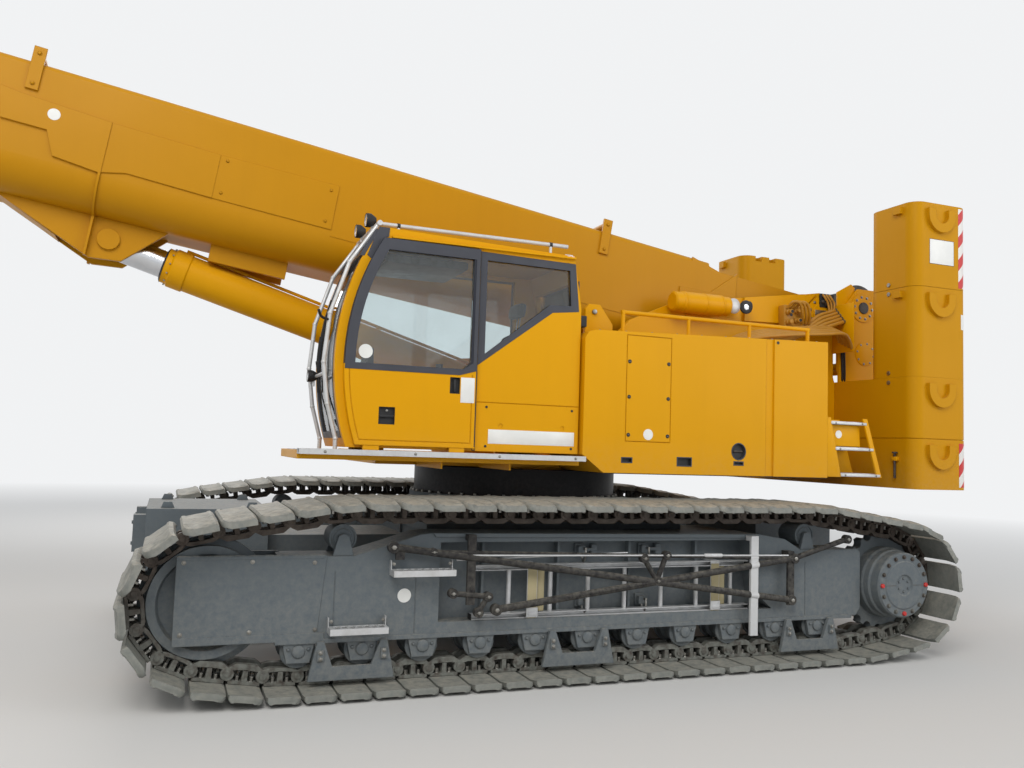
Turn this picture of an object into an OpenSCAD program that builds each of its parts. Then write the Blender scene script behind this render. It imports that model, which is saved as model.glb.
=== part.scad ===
// Telescopic-boom crawler crane with its boom parked low beside the cab.
// Millimetres. +X is ahead, +Y is the cab side, +Z is up, and the ground is Z = 0.
// Places are given from the slewing axis, and the whole crane is moved by mid_x,
// so that the origin is under the middle of its box.

/* [Tracks] */
// Distance between the middles of the two tracks
gauge = 3334; // [3300:10:3600]
// Width of a track shoe
shoe_w = 900; // [700:10:900]
// Thickness of a shoe with its low ribs
shoe_h = 50; // [40:5:60]
// Number of shoes on each track
shoe_count = 62; // [58:1:66]
// Height of the chain links under the shoes
chain_h = 130; // [110:5:140]
// Width of one strand of links
strand_w = 58; // [40:2:64]
// Free width between the two strands of a chain
strand_gap = 100; // [90:5:110]
// Radius of the idler and sprocket rims that carry the chain
wheel_r = 365; // [340:5:380]
// Height of the idler and sprocket axles
wheel_z = 610; // [600:5:640]
// Distance of the idler axle ahead of the slewing axis
idler_x = 2790; // [2700:10:2900]
// Distance of the sprocket axle behind the slewing axis
sprocket_x = 2810; // [2700:10:2900]
// Radius of the bottom rollers
roller_r = 100; // [80:5:110]
// Radius of the carrier rollers under the top run
carrier_r = 95; // [80:5:110]
// Distance of the carrier rollers ahead of and behind the slewing axis
carrier_x = 1930; // [1800:10:2100]
// Height of the top run over the ground
track_h = 1290; // [1270:10:1310]
// Number of bottom rollers on each side
roller_count = 11; // [8:1:11]
// Distance of the foremost bottom roller ahead of the slewing axis
roller_front = 2200; // [2150:10:2250]
// Distance between two bottom rollers
roller_pitch = 422; // [400:2:430]
// Half of the length of the track that lies flat on the ground
ground_half = 2350; // [2300:10:2400]

/* [Undercarriage] */
// Width of a track frame
frame_w = 320; // [300:10:340]
// Top of the raised middle of a track frame
frame_top = 1050; // [1000:10:1060]
// Thickness of the cheeks that hold the idlers
cheek_t = 40; // [30:5:50]
// Depth of the recess in the outer side of a track frame, where the ladder is stowed
recess_d = 150; // [130:5:160]
// Length of each cross beam along the crane
beam_l = 460; // [400:10:500]
// Distance of the cross beams from the slewing axis
beam_x = 900; // [800:10:950]
// Radius of the slewing ring
ring_r = 960; // [900:10:990]
// Height of the seat of the slewing ring
ring_z = 1250; // [1240:5:1260]
// Height of the underside of the turntable
deck_z = 1500; // [1490:5:1510]
// Outer end of the ballast boxes between the tracks, from the slewing axis
ballast_end = 3200; // [3100:10:3200]
// Top of the ballast boxes between the tracks
ballast_top = 1118; // [1100:2:1120]

/* [Turntable] */
// Thickness of the turntable's bottom plate
deck_t = 60; // [40:5:80]
// Half of the outer width over the turntable's side plates
cheek_y = 560; // [550:5:570]
// Thickness of the turntable's side plates
side_t = 50; // [40:5:60]
// Front end of the turntable, ahead of the slewing axis
deck_front = 1500; // [1300:10:1600]
// Distance of the boom's pivot behind the slewing axis
pivot_back = 3100; // [3050:10:3130]
// Height of the boom's pivot
pivot_z = 3150; // [3130:10:3180]
// Radius of the boom's pivot pin
pivot_r = 90; // [70:5:100]
// Distance of the winch drum's axle behind the slewing axis
winch_back = 3620; // [3600:5:3640]
// Height of the winch drum's axle
winch_z = 3240; // [3220:10:3260]
// Radius of the winch drum's flanges
drum_r = 255; // [230:5:265]

/* [Counterweights] */
// Front face of the counterweights, behind the slewing axis
cw_front = 3300; // [3290:5:3320]
// Depth of the counterweights
cw_depth = 670; // [640:10:700]
// Half of the width over the counterweights
cw_half = 1620; // [1580:10:1660]
// Width of a stacked block
cw_block_w = 592; // [560:10:600]
// Radius of the upright edges of the counterweights
cw_r = 120; // [80:5:130]
// Outer radius of the lifting lugs on the counterweights' sides
cw_lug_r = 165; // [150:5:170]
// Heights of the joints between the tiers, from the lowest face up
cw_z0 = 1405; // [1400:5:1410]
// Top of the lower slab
cw_z1 = 1873; // [1860:5:1890]
// Top of the upper slab
cw_z2 = 2446; // [2430:5:2460]
// Top of the lower stacked blocks
cw_z3 = 3297; // [3280:5:3320]
// Top of the upper stacked blocks
cw_z4 = 4097; // [4080:5:4120]

/* [Cab] */
// Outer face of the cab's door and of the side covers
side_y = 1517; // [1500:1:1530]
// Inner side of the cab, beside the boom
cab_in = 600; // [590:5:620]
// Height of the cab's underside
cab_z = 1630; // [1620:5:1640]
// Height of the cab's roof at its front
roof_z = 3265; // [3240:5:3280]
// Fall of the roof from its front to its back
roof_fall = 50; // [30:5:60]
// Rear face of the cab, ahead of the slewing axis
cab_back = 40; // [35:5:50]
// Foremost point of the windscreen, ahead of the slewing axis
cab_front = 1991; // [1980:1:2000]
// Radius of the curved front
cab_r = 1900; // [1850:10:1950]
// Thickness of the cab's walls
cab_t = 45; // [40:5:50]
// Thickness of the door
door_t = 42; // [36:2:44]
// Rear edge of the door, ahead of the slewing axis
door_back = 922; // [910:2:940]
// Thickness of the panes
pane_t = 8; // [6:1:10]

/* [Boom] */
// Elevation of the boom as it is parked
boom_angle = 8.5; // [8:0.5:9]
// Length from the boom's pivot to the head sheaves, fully retracted
boom_len = 11500; // [11000:50:12000]
// Width of the boom's base section
boom_w = 880; // [860:5:890]
// Height of the boom's base section
boom_h = 997; // [980:1:1010]
// Height of the base section's top face over the pivot
boom_top = 235; // [230:1:240]
// Wall of the boom's sections
boom_wall = 20; // [14:1:22]
// Free space around each section inside the next
boom_gap = 14; // [10:1:16]
// Radius of the boom's upper edges
boom_edge = 55; // [40:5:60]
// Radius of the boom's rounded lower edges
boom_low_r = 262; // [250:2:280]
// Number of telescoping sections
tele_count = 5; // [5:1:5]
// Step between the front ends of the sections
tele_step = 130; // [120:5:140]
// Radius of the head sheaves
sheave_r = 250; // [230:5:260]
// Drop of the head sheaves' axle below the boom's pivot line
head_drop = 950; // [930:10:980]
// Length of the falls between the head and the hook block
fall_len = 1150; // [1000:10:1300]

/* [Luffing cylinder] */
// Distance of the cylinder's foot behind the slewing axis
foot_back = 900; // [880:10:920]
// Height of the cylinder's foot
foot_z = 1830; // [1820:5:1840]
// Place of the rod's eye along the boom, from the pivot
lug_along = 6647; // [6600:1:6700]
// Drop of the rod's eye below the boom's pivot line
lug_drop = 923; // [915:1:930]
// Radius of the barrel
barrel_r = 155; // [140:5:160]
// Radius of the rod
rod_r = 115; // [100:5:120]
// Length of the rod that shows, from the barrel's end to the middle of its eye
rod_shows = 450; // [420:10:520]
// Radius of the eye on the rod
eye_r = 120; // [110:1:124]

/* [Hidden] */

$fn = 64;
play = 0.1;
gap = 6;
eps = 1;
seat = 0.3;
ring_h = 235;

yellow = [0.85, 0.62, 0.05];
boom_yellow = [0.80, 0.58, 0.16];
frame_grey = [0.38, 0.41, 0.43];
shoe_grey = [0.45, 0.44, 0.41];
black = [0.09, 0.09, 0.10];
silver = [0.78, 0.79, 0.80];
chrome = [0.72, 0.74, 0.77];
charcoal = [0.19, 0.20, 0.23];
glass = [0.45, 0.55, 0.60, 0.5];

// Track path, worked out from the wheels that the chain runs round
belt_r = wheel_r + chain_h;
track_y = gauge / 2;
chain_half = strand_gap / 2 + strand_w;
roller_z = shoe_h + chain_h + roller_r;
carrier_z = track_h - shoe_h - chain_h - carrier_r;
roller_pin = 45;
axle_r = 60;
flange_h = 50;
box_z = roller_z + roller_r + 20;
skirt_z = box_z - 70;
skirt_t = 30;
// Lower end of the tabs that carry the bottom rollers
tab_z = roller_z - roller_pin - 30;
carrier_seat = carrier_z - carrier_r - 20;
carrier_foot = 70;
// How far the rim over the recess and the band along the skirt stand proud
rim_t = 14;
band_t = 12;
function roller_x(i) = roller_front - i * roller_pitch;
// Columns: distance ahead of the slewing axis, height, radius out to the chain's outer face
belt = [
    [-sprocket_x, wheel_z, belt_r],
    [-ground_half, roller_z, roller_r + chain_h],
    [ground_half, roller_z, roller_r + chain_h],
    [idler_x, wheel_z, belt_r],
    [carrier_x, carrier_z, carrier_r + chain_h],
    [-carrier_x, carrier_z, carrier_r + chain_h]
];
belt_n = len(belt);

// Outward angle of the straight run from wheel i to the next wheel
function run_angle(i) =
    let (a = belt[i % belt_n], b = belt[(i + 1) % belt_n], d = [b[0] - a[0], b[1] - a[1]])
    atan2(d[1], d[0]) - 90 + asin((a[2] - b[2]) / norm(d));
function unwound(a, from) = a < from - 0.001 ? unwound(a + 360, from) : a;
function turn_start(i) = run_angle((i + belt_n - 1) % belt_n);
function turn_end(i) = unwound(run_angle(i), turn_start(i));
function turn_len(i) = belt[i % belt_n][2] * (turn_end(i) - turn_start(i)) * PI / 180;
function rim(i, a) = [belt[i % belt_n][0], belt[i % belt_n][1]]
    + belt[i % belt_n][2] * [cos(a), sin(a)];
function run_len(i) = norm(rim((i + 1) % belt_n, run_angle(i)) - rim(i, run_angle(i)));
function belt_len(i = 0) = i == belt_n ? 0 : turn_len(i) + run_len(i) + belt_len(i + 1);
// Point of the belt at length s, moved outwards by h
function belt_at(s, h, i = 0) =
    s <= turn_len(i) ? turn_point(i, s, h)
    : s <= turn_len(i) + run_len(i) ? run_point(i, s - turn_len(i), h)
    : i < belt_n - 1 ? belt_at(s - turn_len(i) - run_len(i), h, i + 1)
    : belt_at(s - turn_len(i) - run_len(i), h, 0);
function turn_point(i, s, h) =
    let (a = turn_start(i) + s / belt[i][2] * 180 / PI)
    rim(i, a) + h * [cos(a), sin(a)];
function run_point(i, s, h) =
    let (a = run_angle(i), p = rim(i, a), q = rim((i + 1) % belt_n, a))
    p + (q - p) * s / run_len(i) + h * [cos(a), sin(a)];

pitch = belt_len() / shoe_count;
// Radius of a rim that just clears the straight faces of the links bent round it
rim_r = wheel_r * cos(0.3 * pitch / belt_r * 180 / PI) - seat;
shoe_gap = 12;
// Outline of one shoe: place along the pitch, height over the chain
shoe_form = [[shoe_gap / 2, 16], [shoe_gap / 2 + 22, shoe_h], [pitch - shoe_gap / 2 - 22, shoe_h],
    [pitch - shoe_gap / 2, 16]];
// Inner outline of one link: place along the pitch, depth under the shoe
link_form = [[0, chain_h - 26], [pitch * 0.2, chain_h], [pitch * 0.8, chain_h]];

// Boom sections: index 0 is the base section
section_w = [for (i = [0:tele_count]) boom_w - 2 * i * (boom_wall + boom_gap)];
section_h = [for (i = [0:tele_count]) boom_h - 2 * i * (boom_wall + boom_gap)];
section_low_r = [for (i = [0:tele_count]) boom_low_r - i * (boom_wall + boom_gap)];
boom_mid = boom_top - boom_h / 2;
tail_len = 1300;
base_front = boom_len - 500 - tele_count * tele_step;
section_front = [for (i = [0:tele_count]) base_front + i * tele_step];
head_at = [boom_len, -head_drop];
jib_r = 32;
rope_r = 11;
// Posts and rollers that guide the rope: places along the boom, height of the rollers' axles, radius
rope_guides = [2475, 7370];
guide_r = 30;
guide_z = boom_top + 55;
// Radius of the groove of the lead sheave on the boom's pivot
lead_r = 262;
pivot = [-pivot_back, pivot_z];
// A place given along and across the boom, in the crane's side view
function on_boom(p) = pivot + [p[0] * cos(boom_angle) - p[1] * sin(boom_angle),
    p[0] * sin(boom_angle) + p[1] * cos(boom_angle)];
lug = on_boom([lug_along, -lug_drop]);
foot = [-foot_back, foot_z];
luff_angle = atan2(lug[1] - foot[1], lug[0] - foot[0]);
luff_len = norm(lug - foot);
barrel_len = luff_len - rod_shows;
foot_pin = 70;
foot_y = 176;
lug_gap = 130;
lug_t = 35;
head = on_boom(head_at);
front_x = head[0] + sheave_r + 30;
rear_x = -cw_front - cw_depth;
mid_x = (front_x + rear_x) / 2;

module placed() { translate([-mid_x, 0, 0]) children(); }
module block(low, high) { translate(low) cube(high - low); }
module side_profile(points, y0, y1) {
    translate([0, y1, 0]) rotate([90, 0, 0]) linear_extrude(y1 - y0) polygon(points);
}
module rod_y(x, z, r, y0, y1) {
    translate([x, y1, z]) rotate([90, 0, 0]) cylinder(r = r, h = y1 - y0);
}
module rod_x(y, z, r, x0, x1) {
    translate([x0, y, z]) rotate([0, 90, 0]) cylinder(r = r, h = x1 - x0);
}
module bar(a, b, r) {
    d = b - a;
    translate(a) rotate([0, acos(d[2] / norm(d)), atan2(d[1], d[0])]) cylinder(r = r, h = norm(d));
}
// Bend of a pipe at its point i, and how far each leg runs on to close it
function bend(p, i) = i == 0 || i == len(p) - 1 ? 0
    : acos((p[i] - p[i - 1]) * (p[i + 1] - p[i]) / norm(p[i] - p[i - 1]) / norm(p[i + 1] - p[i]));
function leg_end(p, i, r, from) = let (d = (p[i] - from) / norm(p[i] - from)) p[i] + d * r * tan(bend(p, i) / 2);
module pipe(points, r) {
    for (i = [0:len(points) - 2])
        bar(leg_end(points, i, r, points[i + 1]), leg_end(points, i + 1, r, points[i]), r);
}
// Pipe with slight bends, each covered by a ball a little thicker than the pipe
module bent_pipe(points, r) {
    for (i = [0:len(points) - 2]) bar(points[i], points[i + 1], r);
    for (i = [1:1:len(points) - 2]) translate(points[i]) sphere(r = r + 3);
}
module both_sides() {
    children();
    mirror([0, 1, 0]) children();
}
module front_and_back() {
    children();
    mirror([1, 0, 0]) children();
}
module boomed() {
    translate([pivot[0], 0, pivot[1]]) rotate([0, -boom_angle, 0]) children();
}
module luffed() {
    translate([foot[0], 0, foot[1]]) rotate([0, -luff_angle, 0]) children();
}

// Undercarriage
module carbody() {
    body_x = 1150;
    box_l = 900;
    color(frame_grey) placed() {
        difference() {
            block([-body_x, -1100, 480], [body_x, 1100, 1120]);
            for (x = [-body_x - eps, body_x - 60], y = [-800, 250])
                block([x, y, 640], [x + 60 + eps, y + 550, 980]);
        }
        translate([0, 0, 1120]) cylinder(r = ring_r + 20, h = ring_z - 1120);
        for (a = [22.5:45:337.5]) rotate([0, 0, a])
            side_profile([[ring_r, 1120], [ring_r + 130, 1120], [ring_r + 20, ring_z - 40], [ring_r, ring_z - 40]],
                -12, 12);
        for (x = [-beam_x, beam_x]) {
            block([x - beam_l / 2, -track_y + frame_w / 2, 520], [x + beam_l / 2, track_y - frame_w / 2, 1000]);
            both_sides() block([x - beam_l / 2 - 50, track_y - frame_w / 2 - 60, 500],
                [x + beam_l / 2 + 50, track_y - frame_w / 2 - 20, 1020]);
        }
        front_and_back() {
            block([body_x - eps, -420, 560], [ballast_end - box_l, 420, 900]);
            side_profile([[ballast_end - box_l, 500], [ballast_end - 80, 500], [ballast_end, 620],
                [ballast_end, ballast_top], [ballast_end - box_l, ballast_top]], -620, 620);
            for (y = [-400, 400]) block([ballast_end - eps, y - 60, 780], [ballast_end + 90, y + 60, 1060]);
        }
    }
}

module track_frame() {
    y0 = track_y - frame_w / 2;
    y1 = track_y + frame_w / 2;
    front = idler_x - wheel_r - flange_h - 20;
    back = -sprocket_x + wheel_r + flange_h + 20;
    rise = frame_top - carrier_seat;
    low = skirt_z + 19;
    cheek_top = carrier_seat + 7;
    yoke_end = idler_x + 195;
    color(frame_grey) placed() {
        difference() {
            side_profile([[back, box_z], [front, box_z], [front, carrier_seat], [carrier_x - carrier_foot - 5, carrier_seat],
                [1600, carrier_seat + rise * 0.5], [1400, carrier_seat + rise * 0.94], [1310, frame_top],
                [-1430, frame_top - 20], [-1690, frame_top - 60], [carrier_foot + 5 - carrier_x, carrier_seat],
                [back, carrier_seat]], y0, y1);
            side_profile([[-1566, box_z + 34], [1250, box_z + 34], [1250, frame_top - 65], [-1340, frame_top - 65],
                [-1409, 558]], y1 - recess_d, y1 + eps);
        }
        // Thick rims over and under the recess
        side_profile([[-1400, frame_top - 47], [1290, frame_top - 27], [1310, frame_top], [-1430, frame_top - 20]],
            y1 - eps, y1 + rim_t);
        block([back, y1 - eps, skirt_z], [front, y1 + band_t, skirt_z + 28]);
        for (x = [-900, -300, 300, 900]) block([x - 10, y1 - recess_d - eps, box_z + 34],
            [x + 10, y1 - recess_d + 60, frame_top - 65]);
        // Skirts with a tab at each bottom roller
        for (y = [y0, y1 - skirt_t]) difference() {
            union() {
                side_profile([[back, skirt_z], [front, skirt_z], [front, box_z + 20], [back, box_z + 20]],
                    y, y + skirt_t);
                for (i = [0:roller_count - 1]) {
                    x = roller_x(i);
                    side_profile([[x - 105, skirt_z + 5], [x - 75, tab_z], [x + 75, tab_z], [x + 105, skirt_z + 5]],
                        y, y + skirt_t);
                }
            }
            for (i = [0:roller_count - 1])
                rod_y(roller_x(i), roller_z, roller_pin + play, y - eps, y + skirt_t + eps);
        }
        // Cheeks of the idler's yoke
        for (y = [y0, y1 - cheek_t]) difference() {
            side_profile([[front - 30, low], [yoke_end - 45, low], [yoke_end, low + 45], [yoke_end, cheek_top],
                [front - 30, cheek_top]], y, y + cheek_t);
            rod_y(idler_x, wheel_z, axle_r + play, y - eps, y + cheek_t + eps);
        }
        // Cover over the idler's outer cheek, with a rolled upper edge and a band along its foot
        side_profile([[2024, low + 5], [yoke_end, low + 5], [yoke_end, cheek_top], [2040, cheek_top],
            [2088, low + 40]], y1 - eps, y1 + 6);
        rod_x(y1 - 8, cheek_top - 12, 18, 2060, yoke_end);
        block([2040, y1 - eps, low], [yoke_end, y1 + band_t, low + 50]);
        // Cheeks round the final drive
        side_profile([[back + 30, 330], [-2900, 400], [-3000, 500], [-3000, 720], [-2900, 820], [back + 30, 860]],
            y0, y0 + cheek_t);
        side_profile([[back + 30, low], [-2430, low], [-2475, low + 60], [-2475, carrier_seat - 30],
            [-2445, carrier_seat], [back + 30, carrier_seat]], y1 - cheek_t, y1);
    }
}

module track() {
    color(shoe_grey) placed() translate([0, track_y, 0]) {
        shoes = [for (i = [0:shoe_count - 1], p = shoe_form) belt_at(i * pitch + p[0], p[1])];
        inside = [for (i = [0:shoe_count - 1]) belt_at(i * pitch, -12)];
        links = [for (i = [0:shoe_count - 1], p = link_form) belt_at(i * pitch + p[0], -p[1])];
        rotate([90, 0, 0]) {
            translate([0, 0, -shoe_w / 2]) linear_extrude(shoe_w) difference() {
                polygon(shoes);
                polygon(inside);
            }
            for (z = [-chain_half, strand_gap / 2]) translate([0, 0, z]) linear_extrude(strand_w)
                difference() {
                    polygon(inside);
                    polygon(links);
                }
        }
    }
}

module idlers() {
    inner = frame_w / 2 - cheek_t - gap;
    guide = strand_gap / 2 - gap;
    axle_end = frame_w / 2 - 2 * eps;
    color(frame_grey) placed() both_sides() translate([idler_x, track_y, wheel_z]) rotate([90, 0, 0]) {
        rotate_extrude($fn = 128) polygon([[axle_r - eps, -inner], [130, -inner], [150, -70], [rim_r - 70, -70],
            [rim_r - 55, -inner], [rim_r, -inner], [rim_r, -guide], [wheel_r + flange_h, -guide + 10],
            [wheel_r + flange_h, guide - 10], [rim_r, guide], [rim_r, inner], [rim_r - 55, inner],
            [rim_r - 70, 70], [150, 70], [130, inner], [axle_r - eps, inner]]);
        translate([0, 0, -axle_end]) cylinder(r = axle_r, h = 2 * axle_end);
    }
}

module sprockets() {
    teeth = 21;
    hub_y = frame_w / 2;
    cover_y = hub_y + 158;
    color(frame_grey) placed() both_sides() translate([-sprocket_x, track_y, wheel_z]) {
        difference() {
            rod_y(0, 0, wheel_r + flange_h, -strand_gap / 2 + gap, strand_gap / 2 - gap, $fn = 128);
            for (i = [0:teeth - 1]) rotate([0, i * 360 / teeth, 0])
                rod_y(wheel_r + flange_h, 0, 42, -strand_gap, strand_gap);
        }
        // Final drive with its bolted cover
        rotate([-90, 0, 0]) rotate_extrude($fn = 128) polygon([[0, -hub_y + cheek_t], [300, -hub_y + cheek_t],
            [300, hub_y - 30], [288, hub_y - 10], [288, hub_y + 40], [274, hub_y + 55], [274, cover_y - 24],
            [262, cover_y - 8], [205, cover_y - 8], [195, cover_y], [90, cover_y], [80, cover_y - 14],
            [0, cover_y - 14]]);
    }
}

module bottom_rollers() {
    rim_y = chain_half + 4;
    color(frame_grey) placed() both_sides() translate([0, track_y, 0])
        for (i = [0:roller_count - 1]) translate([roller_x(i), 0, roller_z]) rotate([90, 0, 0])
            rotate_extrude() polygon([[0, -frame_w / 2], [roller_pin, -frame_w / 2], [roller_pin, -rim_y - 12],
                [roller_r + 14, -rim_y - 12], [roller_r + 18, -rim_y], [roller_r - 1, -rim_y],
                [roller_r - 1, -strand_gap / 2], [roller_r - 25, -strand_gap / 2 + 20],
                [roller_r - 25, strand_gap / 2 - 20], [roller_r - 1, strand_gap / 2], [roller_r - 1, rim_y],
                [roller_r + 18, rim_y], [roller_r + 14, rim_y + 12], [roller_pin, rim_y + 12],
                [roller_pin, frame_w / 2], [0, frame_w / 2]]);
}

module carrier_rollers() {
    color(frame_grey) placed() both_sides() translate([0, track_y, 0])
        for (x = [-carrier_x, carrier_x]) {
            translate([x, 0, carrier_z]) rotate([90, 0, 0]) rotate_extrude() polygon([
                [0, -chain_half - 40], [30, -chain_half - 40], [30, -chain_half], [carrier_r - 35, -chain_half],
                [carrier_r - 30, -chain_half + 8], [carrier_r - 12, -chain_half + 8], [carrier_r - 12, -chain_half],
                [carrier_r - 1, -chain_half], [carrier_r - 1, chain_half], [carrier_r - 12, chain_half],
                [carrier_r - 12, chain_half - 8], [carrier_r - 30, chain_half - 8], [carrier_r - 35, chain_half],
                [30, chain_half], [30, chain_half + 40], [0, chain_half + 40]]);
            for (y = [-chain_half - 40, chain_half + 10])
                side_profile([[x - carrier_foot, carrier_seat], [x + carrier_foot, carrier_seat], [x + 34, carrier_z + 20],
                    [x - 34, carrier_z + 20]], y, y + 30);
        }
}

// Middles of the track guards, ahead of the slewing axis
guard_rows = [-1920, 175, 1850];
module track_guards() {
    y = track_y + frame_w / 2 + band_t + seat;
    t = 30;
    low = shoe_h + 40;
    rim = skirt_z + 15;
    color(frame_grey) placed() both_sides()
        for (x = guard_rows) {
            side_profile([[x - 290, low], [x + 290, low], [x + 235, rim], [x + 190, rim], [x + 130, low + 90],
                [x - 130, low + 90], [x - 190, rim], [x - 235, rim]], y, y + t);
            for (side = [-1, 1]) block([x + side * 212 - 22, y + t - eps, low + 130],
                [x + side * 212 + 22, y + t + 12, low + 200]);
        }
}

module slewing_ring() {
    color(black) placed() translate([0, 0, ring_z]) difference() {
        cylinder(r = ring_r - 20, h = ring_h);
        translate([0, 0, -eps]) cylinder(r = 700, h = ring_h + 2 * eps);
    }
}

// Columns: rear end, front end, height of the tread
step_rows = [[1170, 1610, 810], [1630, 2020, 440]];
step_w = 130;
module track_steps() {
    y = track_y + frame_w / 2;
    lip = 42;
    plate_t = 5;
    slot = 34;
    color(silver) placed() both_sides()
        for (s = step_rows) {
            difference() {
                block([s[0], y + 13, s[2] - lip], [s[1], y + step_w, s[2]]);
                block([s[0] + plate_t, y + 13 + plate_t, s[2] - lip - eps], [s[1] - plate_t,
                    y + step_w - plate_t, s[2] - plate_t]);
                for (x = [s[0] + 20:slot + 16:s[1] - slot - 20])
                    block([x, y + 36, s[2] - 2 * plate_t], [x + slot, y + step_w - 24, s[2] + eps]);
            }
            for (x = [s[0], s[1] - plate_t])
                side_profile([[x, s[2] - lip], [x + plate_t, s[2] - lip], [x + plate_t, s[2] + 60], [x, s[2] + 60]],
                    y, y + 40);
        }
}

// Rungs of the stowed ladder, ahead of the slewing axis
rung_rows = [710, 380, 70, -240, -560, -880, -1200];
ladder_x = [-1350, 1000];
ladder_low = box_z + 34;
ladder_h = 385;
module stowed_ladder() {
    y = track_y + frame_w / 2 - recess_d + 70;
    rail = 40;
    color(silver) placed() {
        for (z = [ladder_low, ladder_low + ladder_h - rail])
            difference() {
                block([ladder_x[0], y, z], [ladder_x[1], y + 60, z + rail]);
                block([ladder_x[0] - eps, y + 6, z + 6], [ladder_x[1] + eps, y + 60 + eps, z + rail - 6]);
            }
        for (x = rung_rows) rod_z(x, y + 26, 17, ladder_low + rail - 7, ladder_low + ladder_h - rail + 7);
        // Straps that hold the ladder against the frame
        for (x = [540, -1030]) {
            block([x - 40, y + 60, ladder_low], [x + 40, y + 66, ladder_low + ladder_h - 30]);
            block([x - 40, y - 70, ladder_low + ladder_h], [x + 40, y + 66, ladder_low + ladder_h + 6]);
            block([x - 40, y + 60, ladder_low + ladder_h - 31], [x + 40, y + 66, ladder_low + ladder_h + 6]);
        }
    }
}

// Struts stowed outside the ladder. Columns: front end and rear end, each ahead and height, radius
strut_rows = [[1608, 964, -1696, 510, 26], [850, 520, -1724, 842, 26], [1325, 929, -1708, 843, 14],
    [-1724, 842, -2262, 993, 22], [1175, 642, 915, 613, 20], [915, 613, 983, 504, 20],
    [-333, 862, -448, 692, 20], [-528, 883, -448, 692, 20]];
// Upright brackets that carry them. Columns: place, lower end, upper end, width, proud of the frame's face
bracket_rows = [[-1335, 242, 1024, 70, rim_t], [1045, 560, 1044, 60, rim_t], [1560, 880, 960, 60, 0],
    [-1690, 470, 900, 60, 0]];
module stowed_struts() {
    face = track_y + frame_w / 2;
    y = face + 75;
    color(black) placed() {
        for (s = strut_rows) {
            bar([s[0], y, s[1]], [s[2], y, s[3]], s[4]);
            for (x = [[s[0], s[1]], [s[2], s[3]]]) rod_y(x[0], x[1], s[4] + 14, y - 24, y + 24);
        }
        for (b = bracket_rows) {
            block([b[0] - b[3] / 2, y - 12, b[1]], [b[0] + b[3] / 2, y + 12, b[2]]);
            block([b[0] - b[3] / 2, face + b[4] + seat, b[2] - 40], [b[0] + b[3] / 2, y, b[2]]);
        }
    }
}

// Superstructure
module turntable() {
    plate = [[-cw_front, deck_z], [400, deck_z], [400, 1900], [-200, 2150], [-900, 2900], [-1400, 3120],
        [-pivot_back + 250, pivot_z + 170], [-pivot_back, pivot_z + 210], [-pivot_back - 180, pivot_z + 100],
        [-pivot_back - 180, 2500], [-cw_front, 2440]];
    color(yellow) placed() {
        block([-cw_front, -740, deck_z], [deck_front, 740, deck_z + deck_t]);
        translate([0, 0, ring_z + ring_h + seat]) cylinder(r = 730, h = deck_z - ring_z - ring_h - seat);
        both_sides() {
            side_profile(plate, cheek_y - side_t, cheek_y);
            // Deep upper edge of the side plates, behind the deck tube
            side_profile([[-pivot_back + 400, 3005], [-2160, 2990], [-2160, 3224], [-pivot_back + 250, 3320],
                [-pivot_back + 60, pivot_z + 190]], cheek_y - eps, cheek_y + 30);
            rod_y(-pivot_back, pivot_z, pivot_r + 70, cheek_y - eps, cheek_y + 12);
            for (x = [-2000, -1000]) side_profile([[x, deck_z + deck_t - eps], [x + 16, deck_z + deck_t - eps],
                [x + 16, 2300], [x, 2300]], cheek_y - eps, cheek_y + 120);
        }
        for (x = [-2600, -400]) block([x, -cheek_y, deck_z + deck_t - eps], [x + 20, cheek_y, 1700]);
        rod_y(-pivot_back, pivot_z, pivot_r, -cheek_y - 20, cheek_y + 20);
    }
}

module cylinder_foot() {
    deck = deck_z + deck_t;
    color(yellow) placed() both_sides() {
        difference() {
            union() {
                side_profile([[-foot_back - 450, deck], [-foot_back + 350, deck],
                    [-foot_back + 120, foot_z + 60], [-foot_back - 120, foot_z + 60]], foot_y, foot_y + 50);
                rod_y(-foot_back, foot_z, 140, foot_y, foot_y + 50);
            }
            rod_y(-foot_back, foot_z, foot_pin + play, foot_y - eps, foot_y + 50 + eps);
        }
        for (x = [-foot_back - 200, -foot_back + 150])
            block([x, foot_y + 50 - eps, deck], [x + 20, foot_y + 180, deck + 120]);
    }
}

module deck_plates() {
    low = cab_z - 90;
    top = cab_z - 30;
    edge = side_y - 20;
    color(yellow) placed() {
        difference() {
            union() {
                block([cab_back, 740, low], [deck_front, edge, top]);
                block([deck_front, 580, low], [2230, edge, top]);
                block([400, -side_y, low], [1400, -740, top]);
            }
            // Slotted tread in front of the cab
            for (x = [2050:45:2185], y = [660:110:1340]) block([x, y, top - 8], [x + 26, y + 80, top + eps]);
        }
        for (x = [300, 1650], y = [cab_in + 120, shell_y - 120])
            translate([x, y, top]) cylinder(r = 70, h = cab_z - top);
        // Ribs under the overhanging deck
        for (x = [600, 1150]) side_profile([[x, low + eps], [x, low - 50], [x + 14, low - 50], [x + 14, low + eps]],
            760, edge - 40);
    }
}

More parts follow.
